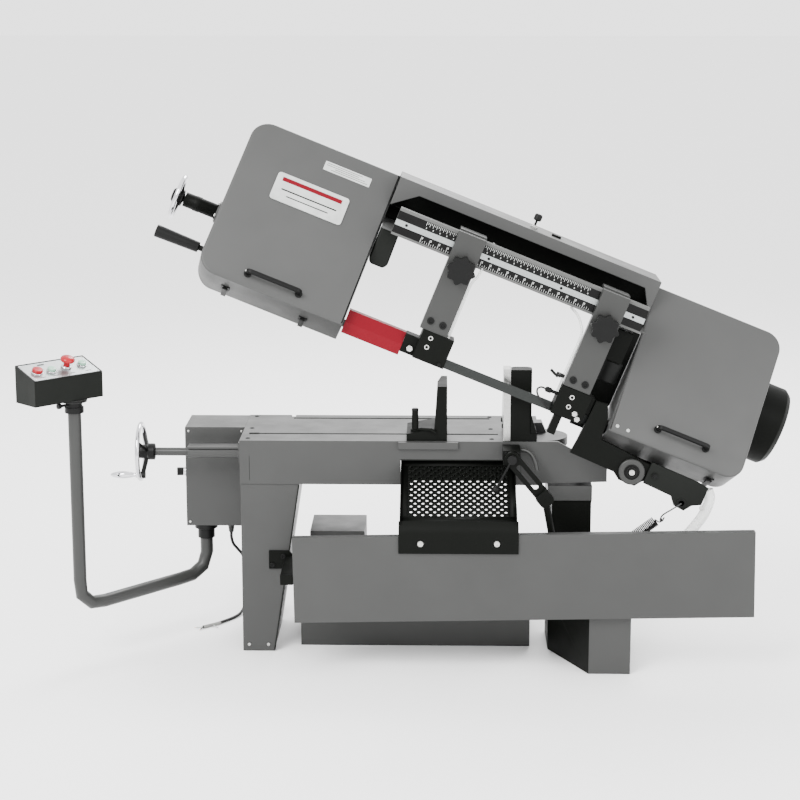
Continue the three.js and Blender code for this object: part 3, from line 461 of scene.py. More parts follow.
LEAD = {"diameter": 0.009, "coil_x": -0.538, "coil_y": 0.388, "outer": 0.0545, "inner": 0.0455}
LEAD_DROP = [
    (-0.622, 0.262, 0.2857), (-0.622, 0.262, 0.268), (-0.617, 0.269, 0.246), (-0.606, 0.284, 0.226),
    (-0.594, 0.300, 0.204), (-0.586, 0.310, 0.176), (-0.584, 0.316, 0.144), (-0.584, 0.319, 0.110),
    (-0.583, 0.321, 0.076), (-0.578, 0.3224, 0.046), (-0.566, 0.3233, 0.022), (-0.552, 0.3238, 0.0095),
    (-0.540, 0.3239, 0.0049),
]
LEAD_END = [
    (-0.5972, 0.3634, 0.018), (-0.601, 0.345, 0.0115), (-0.608, 0.326, 0.0068), (-0.618, 0.306, 0.0049),
    (-0.632, 0.282, 0.0049), (-0.648, 0.260, 0.0049), (-0.667, 0.238, 0.0049), (-0.687, 0.219, 0.0049),
    (-0.706, 0.203, 0.0049),
]


def smooth_step(value, start, end):
    share = min(max((value - start) / (end - start), 0), 1)
    return share * share * (3 - 2 * share)


def coil_points():
    """Turns beside and on each other: outer, inner, inner above, outer above, and half a turn on top."""
    layer = LEAD["diameter"] * 1.01
    floor_height = LEAD["diameter"] / 2 + 0.0004
    first = -90 + 40
    last = 171 + 4 * 360
    points = []
    for i in range(first, last + 1, 15):
        turns = (i + 90) / 360
        inwards = smooth_step(turns, 0.85, 1.15) - smooth_step(turns, 2.85, 3.15)
        radius = LEAD["outer"] + (LEAD["inner"] - LEAD["outer"]) * inwards
        radius += 0.0060 * (1 - smooth_step(turns, 0, 0.25))
        height = floor_height + layer * (smooth_step(turns, 1.85, 2.15) + smooth_step(turns, 3.85, 4.15))
        angle = math.radians(i)
        points.append((LEAD["coil_x"] + radius * math.cos(angle), LEAD["coil_y"] + radius * math.sin(angle), height))
    return points


def make_lead():
    route = [bench.matrix @ Vector(p) for p in LEAD_DROP + coil_points() + LEAD_END]
    curve = bpy.data.curves.new("mains_cord", "CURVE")
    curve.dimensions = "3D"
    curve.resolution_u = 8
    curve.bevel_resolution = 5
    curve.bevel_depth = LEAD["diameter"] / 2
    curve.use_fill_caps = True
    spline = curve.splines.new("BEZIER")
    spline.bezier_points.add(len(route) - 1)
    for i, point in enumerate(route):
        knot = spline.bezier_points[i]
        before, after = route[max(i - 1, 0)], route[min(i + 1, len(route) - 1)]
        slope = (after - before) / 6 if 0 < i < len(route) - 1 else (after - before) / 3
        knot.co = point
        knot.handle_left = point - slope
        knot.handle_right = point + slope
    curve.materials.append(RUBBER)
    lead = bpy.data.objects.new("mains_cord", curve)
    bpy.context.scene.collection.objects.link(lead)
    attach(lead, "base")
    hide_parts("mains_lead", "mains_lead_coil", "mains_lead_end")

    end = Vector(LEAD_END[-1]) / MM
    way = (end - Vector(LEAD_END[-2]) / MM).normalized()
    side = Vector((-way.y, way.x, 0))
    reach = LEAD["diameter"] / MM / 2
    sleeve = Shape(bench).sweep([end - way * 62, end - way * 30, end - way * 1], reach + 0.35, 20)
    sleeve = sleeve.piece("lead_end_sleeve", "base", GREY_SHEATH, 0.3)
    tag = Shape(bench)
    middle = end - way * 34 + side * 6
    tag.sweep([middle, middle + side * 14 + way * 3, middle + side * 26 + way * 2], 1.6, 10)
    tag = tag.piece("lead_tag", "base", WHITE_PLATE)
    for name, offset, bend, material in (("wire_black", 1.8, 9, RUBBER), ("wire_white", -1.8, -10, WHITE_PLATE)):
        start = end + side * offset - way * 3
        rise = Vector((0, 0, -1.5))
        points = [start, start + way * 9 + side * bend * 0.2 + rise * 0.5, start + way * 20 + side * bend + rise]
        Shape(bench).sweep(points, 1.5, 12).piece(name, "base", material)
        tip = points[-1]
        strand = Shape(bench).sweep([tip - way * 1, tip + way * 5 + side * bend * 0.2], 0.8, 10)
        strand.piece(name + "_strand", "base", COPPER)


# ---- finishes on the CAD shapes -----------------------------------------------------------------

FINISHES = {
    "bed": (BED_GREY, 1.0), "left_leg": (BED_GREY, 1.5), "splash_panel": (BED_GREY, 0.7), "tank_lid": (BED_GREY, 1.5),
    "electrical_box": (BED_GREY, 1.2), "console_arm": (ARM_GREY, 0), "head_beam": (GREY, 1.5),
    "guide_rail": (LIGHT_GREY, 1.0), "spring_bracket": (DARK_GREY, 1.2), "left_case": (GREY, 1.0),
    "right_case": (GREY, 1.0), "left_guide_arm": (ARM_GREY, 1.5), "right_guide_arm": (ARM_GREY, 1.5),
    "pedestal": (BLACK_COAT, 1.5), "coolant_tank": (ARM_GREY, 1.2), "console_box": (DARK_GREY, 1.2),
    "vise_jaw": (BLACK_COAT, 1.5), "fixed_jaw": (BLACK_COAT, 2.0), "stop_bracket": (BLACK_COAT, 2.5),
    "stop_arm": (BLACK_COAT, 1.5), "hinge_frame": (BLACK_COAT, 1.5), "motor": (BLACK_COAT, 0),
    "left_guide_block": (BLACK_COAT, 1.5), "right_guide_block": (BLACK_COAT, 1.5),
    "coolant_pump": (DARK_IRON, 2.0), "swivel_arm": (IRON, 2.5), "idler_wheel": (IRON, 1.2),
    "drive_wheel": (IRON, 1.2), "idler_carriage": (DARK_IRON, 2.0), "gearbox": (DARK_IRON, 3.0),
    "main_switch": (BLACK_PLASTIC, 1.5), "arm_collar": (BLACK_PLASTIC, 1.5), "stop_lever": (BLACK_PLASTIC, 1.0),
    "left_cover_handle": (BLACK_PLASTIC, 2.5), "right_cover_handle": (BLACK_PLASTIC, 2.5),
    "left_latch_1": (BLACK_PLASTIC, 1.0), "left_latch_2": (BLACK_PLASTIC, 1.0), "right_latch": (BLACK_PLASTIC, 1.0),
    "pull_handle": (BLACK_PLASTIC, 2.0), "left_arm_knob": (BLACK_PLASTIC, 2.0),
    "right_arm_knob": (BLACK_PLASTIC, 2.0), "fixed_jaw_face": (STEEL, 1.0), "blade_guard": (RED_COAT, 0.5),
    "blade": (BLADE_STEEL, 0),
}


def round_front(node, material, axes, radius):
    """A pressed cover: the CAD shape with the edge round its front face rolled over."""
    work = bmesh.new()
    work.from_mesh(frame["nodes"][node].data)
    bmesh.ops.remove_doubles(work, verts=work.verts, dist=0.00002)
    bmesh.ops.dissolve_limit(work, angle_limit=math.radians(1), verts=work.verts, edges=work.edges)
    inverse = axes.matrix.inverted()
    front = [
        edge for edge in work.edges
        if all(abs((inverse @ vert.co).y) < 0.0002 for vert in edge.verts) and edge.calc_face_angle(0) > 1
    ]
    bmesh.ops.bevel(work, geom=front, offset=radius * MM, segments=5, profile=0.5, affect="EDGES")
    data = bpy.data.meshes.new(node + "_finished")
    work.to_mesh(data)
    work.free()
    piece = finish_piece(node + "_finished", data, BODY_OF[node], material, 0)
    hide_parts(node)


def finish_nodes():
    for node, (material, bevel) in FINISHES.items():
        round_edges(node, material, bevel)
    round_front("left_cover", GREY, lean, 6)
    round_front("right_cover", GREY, lean, 6)


# ---- bed and stand ------------------------------------------------------------------------------


def make_bed_details():
    Shape(bench).box(-116, 55, -11, -0.2, 606, 627).piece("front_bar", "base", BED_GREY, 1.5)
    outline = [(-487, 304), (-428, 304), (-418, 291), (-418, 276), (-452, 250), (-487, 250)]
    Shape(bench).plate(outline, -2, 3.8).piece("panel_bracket", "base", BLACK_COAT, 1)
    centres = [(-446, 288), (-477, 262)]
    socket_screws("panel_bracket_screws", bench, "y", -2, -1, centres, 7, 5, "base", DARK_IRON)
    arm = Shape(bench).box(-440, -404, -198, -1, 262, 290)
    arm.piece("panel_bracket_arm", "base", BLACK_COAT, 1.5)
    edge = Shape(bench).plate([(-472, 4), (-397, 498), (-401, 498), (-476, 4)], 1.5, 3.9)
    edge.piece("leg_fold", "base", DARK_GREY, 0.4)
    lip = Shape(bench).box(-109, 218, -0.9, -0.1, 572, 575)
    lip.piece("mouth_lip", "base", DARK_GREY, 0.2)
    dome_screws("leg_screws", bench, "y", 3.9, -1, [(-548, 20), (-492, 20)], 5, "base", ZINC)
    top_screws = [(x, y) for x in (-545, 150) for y in (30, 160, 320)]
    socket_screws("bed_top_screws", bench, "z", 628, 1, top_screws, 7, 1.2, "base", DARK_IRON)
    seam = Shape(bench)
    for x in (-540, 232):
        seam.box(x, x + 1, -0.4, 0.1, 512, 584)
    seam.piece("bed_seams", "base", DARK_GREY)


def make_pedestal_details():
    """The neck is a grey casting. A grey plate over the front of the black foot is painted light: it draws the lit
    front lighter than the shaded side, which has the same paint.
    """
    neck = Shape(bench).box(310.4, 436.6, 3.4, 150.6, 455, 499.4)
    neck.piece("pedestal_neck", "base", BED_GREY, 1.5)
    # painted light: this grey plate makes the foot's lit front lighter than its shaded black side
    foot_lit_plate = Shape(bench).box(422, 538.6, -174.6, -172.8, 1, 164)
    foot_lit_plate.piece("pedestal_foot_painted_light", "base", BED_GREY, 0.6)
    Shape(bench).box(-104, 214, 322, 328.8, 430, 502).piece("bed_back_skirt", "base", BLACK_COAT, 1)


def perforated_sheet(shape, left, right, start, pitch, row_height, rows, radius, place):
    """Rows of cells, each with a round hole, every second row set over by half a pitch."""
    sides = 12
    for row in range(rows):
        offset = pitch / 2 if row % 2 else 0
        cells = int(round((right - left) / pitch)) - (1 if row % 2 else 0)
        s0, s1 = start + row * row_height, start + (row + 1) * row_height
        if offset:
            for a, b in ((left, left + offset), (right - offset, right)):
                shape.mesh.faces.new([shape.mesh.verts.new(place(x, s)) for x, s in ((a, s0), (b, s0), (b, s1), (a, s1))])
        for cell in range(cells):
            x0 = left + offset + cell * pitch
            cx, cs = x0 + pitch / 2, (s0 + s1) / 2
            outer, inner = [], []
            for i in range(sides):
                angle = 2 * math.pi * i / sides
                c, s = math.cos(angle), math.sin(angle)
                reach = min(pitch / 2 / max(abs(c), 1e-6), row_height / 2 / max(abs(s), 1e-6))
                if i % 3 == 1 or i % 3 == 2:
                    corner = math.atan2(row_height, pitch)
                    near_corner = (i % 6 == 1 or i % 6 == 5)
                    if near_corner:
                        c = math.copysign(math.cos(corner), c)
                        s = math.copysign(math.sin(corner), s)
                        reach = math.hypot(pitch, row_height) / 2
                outer.append(shape.mesh.verts.new(place(cx + reach * c, cs + reach * s)))
                inner.append(shape.mesh.verts.new(place(cx + radius * math.cos(angle), cs + radius * math.sin(angle))))
            for i in range(sides):
                j = (i + 1) % sides
                shape.mesh.faces.new((outer[i], outer[j], inner[j], inner[i]))


def make_chute():
    top, fold = Vector((38, 570)), Vector((-183, 442))
    slope = (fold - top).normalized()

    def place(x, s):
        point = top + slope * s
        return (x, point.x, point.y)

    left, right, pitch, row_height, rows = -88, 198, 22, 11.2, 18
    start = 33
    end = start + rows * row_height
    sheet = Shape(bench)
    perforated_sheet(sheet, left, right, start, pitch, row_height, rows, 4.1, place)
    length = (fold - top).length
    for x0, x1, s0, s1 in ((-108, 217, 0, start), (-108, 217, end, length), (-108, left, start, end), (right, 217, start, end)):
        sheet.mesh.faces.new([sheet.mesh.verts.new(place(x, s)) for x, s in ((x0, s0), (x1, s0), (x1, s1), (x0, s1))])
    piece = sheet.piece("chip_chute_sheet", "base", BLACK_COAT)
    thick = piece.modifiers.new("gauge", "SOLIDIFY")
    thick.thickness = 2.6 * MM
    thick.offset = 0
    lower = [(-183, 442), (-199, 427), (-204, 412), (-204, 357), (-207, 357), (-207, 413.5), (-201, 430), (-184.5, 445)]
    Shape(bench).plate(lower, -111, 221, "x").piece("chip_chute_front", "base", BLACK_COAT, 0.8)
    sides = Shape(bench)
    whole = [(38, 571), (-183, 443), (-196, 425), (-196, 447), (-183, 462), (30, 584)]
    rear = [(38, 571), (-78, 503.8), (-66, 529), (30, 584)]
    front = [(-132, 472.6), *whole[1:5], (-144, 484.3)]
    for x, outline in ((-108, whole), (214, rear), (214, front)):
        sides.plate(outline, x, x + 3, "x")
    piece = sides.piece("chip_chute_sides", "base", BLACK_COAT, 0.8)
    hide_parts("chip_chute")
    dome_screws("chute_bolts", bench, "y", -207.2, -1, [(-50, 386), (161, 387)], 9.5, "base", ZINC)


def make_electrical_details():
    seam = Shape(bench)
    seam.box(-744, -742.6, 176, 178, 336, 622).box(-744, -742.6, 326, 328, 336, 622)
    seam.box(-744, -742.6, 176, 328, 336, 338).box(-744, -742.6, 176, 328, 620, 622)
    seam.piece("door_seam", "base", DARK_GREY)
    hinges = Shape(bench)
    for z in (380, 570):
        hinges.rod("z", 5, z - 22, z + 22, (-746, 334))
    hinges.piece("door_hinges", "base", DARK_IRON, 0.8)
    ring = Shape(bench).turn("x", (205, 486), [(12, -742.9), (13.5, -744), (13.5, -751), (12, -753), (10.8, -753), (10.8, -742.9)], 40)
    ring.piece("switch_ring", "base", CHROME, 0.3)
    screws = [(x, z) for x in (-733, -577) for z in (342, 616)]
    dome_screws("box_screws", bench, "y", 170, -1, screws, 4, "base", ZINC)
    nut = Shape(bench).turn("z", (-622, 262), [(17, 316), (17, 329.6)], 6)
    nut.piece("gland_nut", "base", BLACK_PLASTIC, 1)


# ---- console ------------------------------------------------------------------------------------


def make_console_details():
    width, length = DECK["width"], DECK["length"]
    Shape(deck).plate(rounded_outline(5, width - 5, 5, length - 5, 3), 0.2, 1.6, "z").piece(
        "console_plate", "console", SILVER_PLATE, 0.4)
    border = Shape(deck)
    for x0, x1, y0, y1 in ((0, width, 0, 3.5), (0, width, length - 3.5, length), (0, 3.5, 0, length),
                           (width - 3.5, width, 0, length)):
        border.box(x0, x1, y0, y1, 0.1, 2.4)
    border.piece("console_border", "console", BLACK_PLASTIC, 0.6)
    spots = {"stop_button": (38, 0.46, 15), "start_button": (82, 0.42, 12), "lamp_button": (188, 0.5, 12),
             "emergency_stop": (136, 0.5, 20)}
    bezels = Shape(deck)
    for name, (x, share, radius) in spots.items():
        centre = (x, share * length)
        body = name
        if name == "emergency_stop":
            collar = [(14, 1.6), (15, 3), (15, 6), (13, 8), (9.6, 8), (9.6, 1.6)]
            bezels.turn("z", centre, collar, 40)
            cap = [(8.9, -13), (8.9, 21), (12, 22), (18.5, 22), (20, 24), (20, 28), (18, 32), (12, 35), (5, 36), (0, 36)]
            piece = Shape(deck).turn("z", centre, [(0, -13), *cap], 56).piece("emergency_cap", body, RED_PLASTIC)
            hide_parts(name)
            continue
        bezels.turn("z", centre, [(radius + 2, 1.6), (radius + 2.5, 3), (radius + 1.5, 5), (9.6, 5), (9.6, 1.6)], 40)
        height = 14 if name == "stop_button" else 12.6
        material = RED_PLASTIC if name == "stop_button" else GREEN_LENS
        cap = [(0, -13), (8.9, -13), (8.9, 4.8), (radius - 0.6, 5.2), (radius, 6), (radius, height - 1.5),
               (radius - 1.5, height), (radius * 0.5, height + 0.4), (0, height + 0.4)]
        piece = Shape(deck).turn("z", centre, cap, 48).piece(name + "_cap", body, material)
        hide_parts(name)
    bezels.piece("button_bezels", "console", CHROME, 0.4)
    marks = Shape(deck)
    marks.box(62, 84, 80, 86, 1.6, 1.9)
    for x in (38, 82, 136, 188):
        marks.box(x - 9, x + 9, 0.16 * length, 0.16 * length + 2.5, 1.6, 1.8)
    marks.piece("console_marks", "console", BLACK_PLASTIC)
    corners = [(x, y) for x in (9, width - 9) for y in (9, length - 9)]
    dome_screws("console_screws", deck, "z", 1.6, 1, corners, 2.6, "console", ZINC)
    screw = Shape(post).rod("x", 4, -45, -24, (0, -14), 20).rod("x", 8, -55, -45, (0, -14), 8)
    screw.piece("post_screw", "console_arm", BLACK_PLASTIC, 0.6)
    collar = Shape(post).turn("z", (0, 0), [(22.6, -38.4), (26.4, -38.4), (26.4, -22), (22.4, -22), (22.4, -6.4), (36.4, -6.4), (36.4, -0.5), (0, -0.5)], 40)
    collar.piece("post_collar", "console_arm", BLACK_PLASTIC, 0.8)


# ---- vise ---------------------------------------------------------------------------------------


def make_handwheels():
    centre = (91, 573)
    rim = Shape(bench).hoop("x", 80, -861, centre, 6.5)
    rim = rim.piece("handwheel_rim", "vise_handwheel", CHROME)
    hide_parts("vise_handwheel")
    spokes = Shape(bench)
    for i in range(3):
        angle = math.radians(120 * i - 90)
        y, z = math.cos(angle), math.sin(angle)
        points = [(x, centre[0] + r * y, centre[1] + r * z) for x, r in ((-845, 10), (-848, 30), (-855, 55), (-860, 77))]
        spokes.sweep(points, 6.5, 14)
    hub = [(0, -872), (15, -872), (19, -868), (20, -862), (20, -842), (24, -838), (24, -822), (21, -820), (10, -820)]
    spokes.turn("x", centre, [*hub, (0, -820)], 40)
    spokes.rod("x", 10, -874, -850, (91, 503), 24)
    spokes.piece("handwheel_spokes", "vise_handwheel", BLACK_PLASTIC, 0.5)
    shaft = Shape(bench).turn("x", centre, [(0, -822), (10.5, -822), (11.8, -815), (11.8, -726), (10, -725.5), (10, 160), (0, 160)], 32)
    shaft.piece("vise_screw", "vise_handwheel", ARM_GREY, 0.4)
    grip = [(0, -952), (3, -951), (6.5, -944), (10, -928), (11, -914), (9, -896), (6, -884), (6.5, -879), (9, -877),
            (9, -874.4), (0, -874.4)]
    piece = Shape(bench).turn("x", (91, 503), grip, 36).piece("grip_spindle", "handwheel_grip", CHROME)
    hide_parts("handwheel_grip")

    hub = (126, -11)
    rim = Shape(lean).hoop("x", 58, -1463, hub, 7).piece("tension_rim", "tension_wheel", CHROME)
    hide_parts("tension_wheel")
    body = Shape(lean)
    for i in range(3):
        angle = math.radians(120 * i + 30)
        y, z = math.cos(angle), math.sin(angle)
        points = [(x, hub[0] + r * y, hub[1] + r * z) for x, r in ((-1456, 14), (-1459, 35), (-1463, 55))]
        body.sweep(points, 6, 14)
    profile = [(0, -1481), (16, -1480), (22, -1474), (24, -1466), (24, -1448), (10, -1446), (9, -1440), (9, -1150), (0, -1150)]
    body.turn("x", hub, profile, 36)
    body.piece("tension_hub", "tension_wheel", GLOSS_BLACK, 0.4)
    sleeve = [(20.2, -1346), (20.8, -1347), (20.8, -1395), (22, -1397), (22, -1412), (20.8, -1414), (20.8, -1443),
              (9.4, -1443.5)]
    Shape(lean).turn("x", hub, [(9.4, -1346), *sleeve], 40).piece("tension_sleeve", "head", BLACK_COAT, 0.4)
    centres = [(hub[0] + 26 * math.cos(a), hub[1] + 26 * math.sin(a)) for a in (0.8, 2.4, 3.9, 5.5)]
    socket_screws("flange_screws", lean, "x", -1346, -1, centres, 4.5, 4, "head", ZINC)


def make_vise_details():
    chamfer = Shape(bench).plate([(5, 836), (56, 836), (5, 760)], 202.4, 203.2, "x")
    chamfer.piece("jaw_chamfer", "base", STEEL)
    dome_screws("jaw_face_screws", bench, "x", 182, -1, [(40, 665), (120, 665)], 7, "base", DARK_IRON)
    lever = Shape(bench).sweep([(-68, 28, 652), (-50, 12, 660), (-22, -2, 662), (-8, -4, 652)], 5, 14)
    lever.turn("z", (-68, 28), [(0, 646), (13, 646), (13, 658), (0, 660)], 24)
    lever.piece("jaw_clamp_lever", "vise_jaw", BLACK_COAT, 0.5)
    top = Shape(bench).turn("z", (-68, 28), [(0, 712), (9.8, 712), (9.8, 716), (8, 718), (0, 718)], 28)
    top.piece("jaw_post_cap", "vise_jaw", BLACK_PLASTIC)


def make_stop_details():
    dome_screws("stop_bracket_screws", bench, "y", -78.2, -1, [(187, 613), (221, 613)], 4.5, "base", DARK_IRON)
    hook = smooth_path([(226, -20, 608), (246, -26, 608), (262, -34, 598), (271, -42, 580), (276, -48, 556)], 5)
    Shape(bench).sweep(hook, 6, 16).piece("stop_hook", "base", ARM_GREY, 0.5)


# ---- head ---------------------------------------------------------------------------------------

RAIL = {"left": -872, "right": -131, "front": -30, "strip": (391, 407)}


def make_rail_details():
    front = RAIL["front"]
    tapes = Shape(head).box(RAIL["left"], RAIL["right"], front - 0.5, front, 369, 390.5)
    tapes.box(RAIL["left"], RAIL["right"], front - 0.5, front, 407.5, 431)
    tapes.piece("rail_tapes", "head", GLOSS_BLACK)
    strip = Shape(head).box(RAIL["left"], RAIL["right"], front - 2.2, front, *RAIL["strip"])
    strip.piece("rail_strip", "head", SILVER_PLATE, 0.3)
    ticks = Shape(head)
    top_y, first, last = front - 0.7, -790, -300
    step = 5
    for i in range(int((last - first) / step)):
        x = first + i * step
        reach = 12 if i % 2 == 0 else 7
        ticks.box(x, x + 1.1, top_y, front, 431 - reach, 430)
        if i % 4 == 0:
            ticks.box(x + 2.4, x + 4.6, top_y, front, 411, 415)
    inch = 25.4
    for i in range(int((last - first) / inch) + 1):
        x = first + i * inch
        ticks.box(x, x + 1.4, top_y, front, 370, 386)
        for k in (1, 2, 3):
            ticks.box(x + k * inch / 4, x + k * inch / 4 + 0.9, top_y, front, 370, 378 if k == 2 else 375)
        ticks.box(x + 3, x + 5, top_y, front, 380, 386)
    ticks.piece("rail_ticks", "head", WHITE_PLATE)
    centres = [(x, 399) for x in (-840, -596, -380, -165)]
    dome_screws("rail_screws", head, "y", front - 2.2, -1, centres, 4, "head", DARK_IRON)


def make_head_details():
    # painted shade: a thin black sheet inside the head beam's channel stands in for the shadow there
    dark = Shape(head)
    dark.box(-900, -111, 210, 240, 372, 485)
    dark.piece("beam_channel_painted_shade", "head", BLACK_COAT)
    left = [(-901, 262), (-901, 360), (-847, 360), (-845, 264), (-855, 252), (-892, 252)]
    Shape(head).plate(left, 50, 110).piece("left_blade_box", "head", DARK_GREY, 6, 3)
    right = [(-196, 352), (-188, 268), (-184, 258), (-142, 258), (-138, 266), (-138, 352)]
    Shape(head).plate(right, -4, 60).piece("right_blade_box", "head", BLACK_COAT, 3)
    Shape(head).turn("z", (-158, 26), [(0, 196), (26, 196), (30, 200), (30, 256), (22, 262), (22, 276), (0, 276)], 36).piece(
        "brush_motor", "head", DARK_IRON, 1)
    backing = [(-196, 40), (-196, 350), (-112, 350), (-112, 130), (-140, 60), (-150, 40)]
    Shape(head).plate(backing, 62, 74).piece("brush_mount", "head", BLACK_COAT, 1.5)
    knob = Shape(head).turn("z", (-498, 152), [(0, 511), (3.4, 511), (3.4, 528), (9, 529), (11.5, 532), (11.5, 544), (9, 548), (0, 549)], 12)
    knob.piece("beam_knob", "head", BLACK_PLASTIC, 0.6)
    hex_nuts("beam_knob_nut", head, "z", 506, 1, [(-498, 152)], 11, 6, "head", ZINC)
    Shape(head).box(-443, -416, 142, 162, 506.2, 512).piece("beam_catch", "head", BLACK_COAT, 1.2)
    for name, x, post_x in (("left", -701, -621), ("right", -273, -277)):
        cap = Shape(head).box(x + 2, x + 80, -29.8, 26, 441, 449)
        cap.piece(name + "_arm_clamp", name + "_arm", ARM_GREY, 1.5)
    hoses = {
        "left": [(-596, 4, 440), (-600, -10, 400), (-604, -36, 350), (-613, -46, 326), (-616, -46, 300),
                 (-616, -46, 240), (-616, -46, 150)],
        "right": [(-330, 6, 356), (-306, -10, 344), (-290, -30, 326), (-279, -42, 300), (-279, -44, 220),
                  (-279, -44, 130)],
    }
    for name, points in hoses.items():
        Shape(head).sweep(smooth_path(points, 5), 3.6, 14).piece(name + "_coolant_tube", name + "_arm", CLEAR_HOSE)
    centres = [(-680, 183), (-644, 183)]
    socket_screws("left_arm_screws", head, "y", -58, -1, centres, 10, 5, "left_arm", DARK_IRON)
    socket_screws("right_arm_screws", head, "y", -58, -1, [(-252, 178), (-216, 178)], 10, 5, "right_arm", DARK_IRON)
    rings = [("left", [(-662, 138), (-663, 111)]), ("right", [(-236, 132), (-235, 104)])]
    for name, centres in rings:
        block = Shape(head)
        for centre in centres:
            block.turn("y", centre, [(4.2, -60), (4.2, -62.6), (6.6, -62.6), (6.6, -61.8)], 28)
        block.piece(name + "_block_bores", name + "_arm", ZINC)
    hex_nuts("left_block_nut", head, "y", -46, -1, [(-705, 88)], 9, 9, "left_arm", ZINC)
    hex_nuts("left_block_bolt", head, "y", -62, -1, [(-613, 78)], 6, 5, "left_arm", DARK_IRON)
    hex_nuts("right_block_nut", head, "y", -58, -1, [(-200, 80), (-212, 92)], 8, 8, "right_arm", ZINC)
    valve = Shape(head).rod("x", 6, -300, -277, (-44, 176), 20).rod("y", 5, -66, -40, (-292, 176), 16)
    valve.sweep([(-296, -64, 172), (-310, -66, 178), (-322, -66, 184)], 4, 12)
    valve.piece("coolant_valve", "right_arm", BLACK_PLASTIC, 0.8)
    fitting = Shape(head).turn("x", (-40, 124), [(0, -312), (5, -312), (8, -308), (8, -296), (5, -292), (5, -276), (0, -276)], 20)
    fitting.piece("coolant_fitting", "right_arm", BLACK_PLASTIC, 0.5)
    loop = [(-312, -40, 124), (-324, -42, 124), (-332, -44, 116), (-328, -46, 104), (-314, -46, 92), (-298, -42, 82),
            (-284, -38, 74)]
    Shape(head).sweep(smooth_path(loop, 6), 2.6, 12).piece("coolant_loop", "right_arm", RUBBER)


def smooth_path(points, steps):
    """More points on one smooth curve through the given ones."""
    path = [Vector(p) for p in points]
    path = [path[0] * 2 - path[1], *path, path[-1] * 2 - path[-2]]
    result = [path[1]]
    for i in range(1, len(path) - 2):
        p0, p1, p2, p3 = path[i - 1:i + 3]
        for k in range(1, steps + 1):
            t = k / steps
            result.append(0.5 * (2 * p1 + (p2 - p0) * t + (2 * p0 - 5 * p1 + 4 * p2 - p3) * t * t
                                 + (3 * p1 - p0 - 3 * p2 + p3) * t * t * t))
    return result


def make_pivot_details():
    ring = Shape(head).turn("y", (0, 0), [(22, -66.2), (22, -69), (24, -70), (34, -70), (36.4, -68), (36.4, -57.8), (34, -57.6)], 56)
    ring.piece("pivot_ring", "head", ARM_GREY, 0.3)
    Shape(head).turn("y", (0, 0), [(0, -66.4), (22, -66.4), (22, -66.1), (0, -66.1)], 48).piece("pivot_recess", "head", DARK_IRON)
    Shape(head).turn("y", (0, 0), [(10, -66.4), (10, -71), (15.5, -71), (15.5, -66.4)], 40).piece(
        "pivot_washer", "head", GLOSS_BLACK, 0.4)
    dome_screws("pivot_bolt", head, "y", -71, -1, [(0, 0)], 9.5, "head", ZINC)
    hex_nuts("bracket_bolt", head, "y", -66.2, -1, [(64, 14)], 9, 6, "head", DARK_IRON)
    ring = Shape(head).turn("y", (164, -30), [(8.2, -66), (8.2, -69), (13, -69), (13, -66)], 36)
    ring.piece("lug_ring", "head", DARK_IRON, 0.4)
    hex_nuts("hose_clip", head, "y", -60, -1, [(222, -22)], 7, 5, "head", ZINC)


def make_cover_details():
    Shape(lean).plate(rounded_outline(-1222, -1009, 37, 122, 9), -4.5, -0.1).piece(
        "badge_plate", "left_cover", WHITE_PLATE, 1.6, 3)
    Shape(lean).box(-1205, -1028, -5.1, -4.4, 98, 110).piece("badge_bar", "left_cover", RED_COAT, 0.3)
    lines = Shape(lean).box(-1198, -1034, -4.9, -4.4, 72, 76).box(-1178, -1054, -4.9, -4.4, 56, 59)
    lines.piece("badge_lines", "left_cover", DARK_GREY, 0.2)
    Shape(lean).plate(rounded_outline(-1112, -974, 178, 206, 2), -0.9, -0.1).piece(
        "label_plate", "left_cover", WHITE_PLATE, 0.2)
    lines = Shape(lean)
    for i, (x0, x1) in enumerate(((-1106, -1000), (-1106, -1010), (-1080, -990), (-1090, -982))):
        lines.box(x0, x1, -1.1, -0.8, 200 - i * 5.6, 201.4 - i * 5.6)
    lines.piece("label_lines", "left_cover", ARM_GREY)
    dome_screws("cover_rivets", lean, "y", -0.1, -1, [(-90, -206), (-58, -206.6)], 5, "right_cover", WHITE_PLATE)
    hinges = Shape(lean).box(-1282, -904, 66, 112, 250.4, 255).box(-108, 236, 66, 112, 232.4, 237)
    hinges.rod("x", 5, -1282, -904, (84, 255), 16).rod("x", 5, -108, 236, (84, 237), 16)
    hinges.piece("cover_hinges", "head", BLACK_COAT, 0.8)
    for name, x0, x1, v, body in (("left", -1202, -1038, -196, "left_cover"), ("right", 13, 172, -172, "right_cover")):
        centres = [(x0 + 7, v), (x1 - 7, v)]
        socket_screws(name + "_handle_screws", lean, "y", -22, -1, [(x0 + 1, v)], 3, 1, body, ZINC)
        feet = Shape(lean)
        for centre in centres:
            feet.turn("y", centre, [(10.5, -0.1), (10.5, -4), (8, -7), (0, -7)], 28)
        feet.piece(name + "_handle_feet", body, BLACK_PLASTIC, 0.6)
    for name, x, bottom, body in (("left_latch_1", -1240, -232, "left_cover"), ("left_latch_2", -1010, -232, "left_cover"),
                                  ("right_latch", 216, -226, "right_cover")):
        base = Shape(lean).box(x - 13, x + 13, 56, 83, bottom - 3, bottom - 0.1)
        base.piece(name + "_base", body, BLACK_PLASTIC, 1)


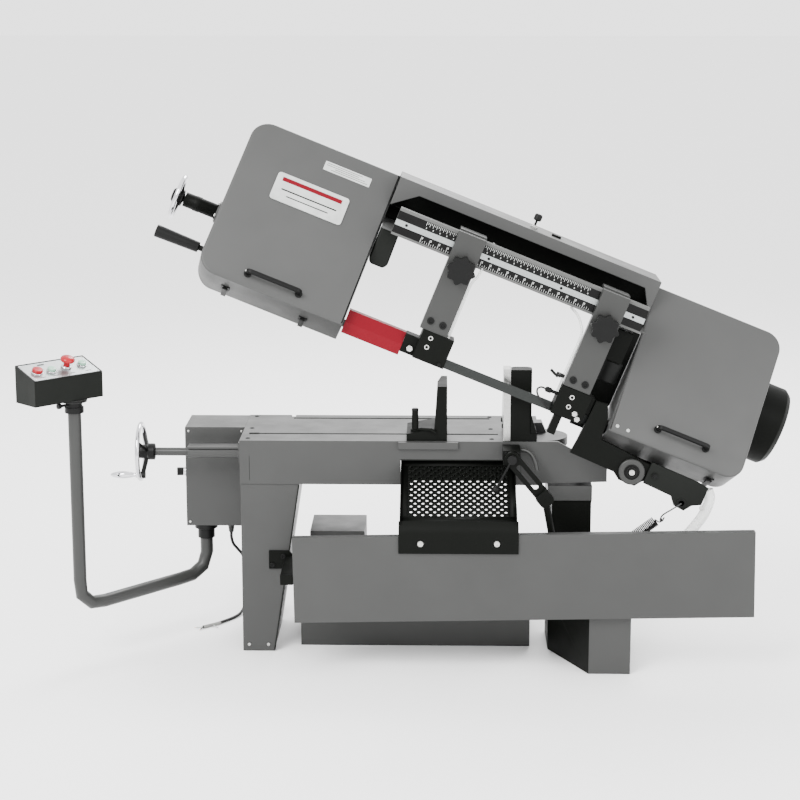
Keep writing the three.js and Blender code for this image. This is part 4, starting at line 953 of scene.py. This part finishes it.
def make_spring_and_hose():
    top, foot = Vector((678, -93, 476)), Vector((502, -93, 345))
    axis = (foot - top).normalized()
    side = Vector((0, 1, 0))
    up = axis.cross(side)
    span = (foot - top).length
    turns, radius, start, end = 24, 14, 88, span - 20
    points = []
    for i in range(turns * 16 + 1):
        angle = 2 * math.pi * i / 16
        place = top + axis * (start + (end - start) * i / (turns * 16))
        points.append(place + side * radius * math.cos(angle) + up * radius * math.sin(angle))
    hook = [top + axis * 70 + up * 4, top + axis * 74 + up * 10, top + axis * 82 + side * 6 + up * 10]
    tail = [foot - axis * 12 + side * 6, foot - axis * 4, foot]
    spring = Shape(bench).sweep(smooth_path([*hook, *points[::4], *tail], 5), 1.9, 8)
    spring = spring.piece("counter_spring_coil", "swivel", DARK_IRON)
    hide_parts("counter_spring")
    link = [top + up * 2, top + axis * 30, top + axis * 60 - up * 2, top + axis * 72 + up * 3, top + axis * 76 + up * 8,
            top + axis * 72 + up * 11, top + axis * 62 + up * 6]
    Shape(bench).sweep(smooth_path(link, 6), 2.2, 10).piece("spring_link", "swivel", IRON)
    spout = smooth_path([(222, -40, 30), (238, -40, 6), (240, -42, -40), (228, -44, -90), (214, -46, -130)], 8)
    hose = Shape(head).sweep(spout, 15, 32).piece("drain_spout", "head", CLEAR_HOSE, 1)
    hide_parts("drain_hose")


def make_brush():
    centre = (-146, 38)
    bristles = Shape(head)
    for i in range(48):
        angle = 2 * math.pi * i / 48
        c, s = math.cos(angle), math.sin(angle)
        for y in (-28, -20, -12):
            reach = 24.6 if (i + y) % 2 else 22.5
            bristles.sweep([(centre[0] + 8 * c, y, centre[1] + 8 * s), (centre[0] + reach * c, y, centre[1] + reach * s)], 0.7, 5)
    brush = bristles.piece("brush_bristles", "chip_brush", STEEL)
    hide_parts("chip_brush")
    hub = Shape(head).turn("y", centre, [(0, -40), (8, -40), (9, -38), (10.5, -32), (10.5, -6), (0, -6)], 28)
    hub.piece("brush_hub", "chip_brush", DARK_IRON, 0.4)


make_camera()
make_lead()
make_light_and_floor()
finish_nodes()
make_bed_details()
make_pedestal_details()
make_chute()
make_electrical_details()
make_console_details()
make_handwheels()
make_vise_details()
make_stop_details()
make_rail_details()
make_head_details()
make_pivot_details()
make_cover_details()
make_spring_and_hose()
make_brush()
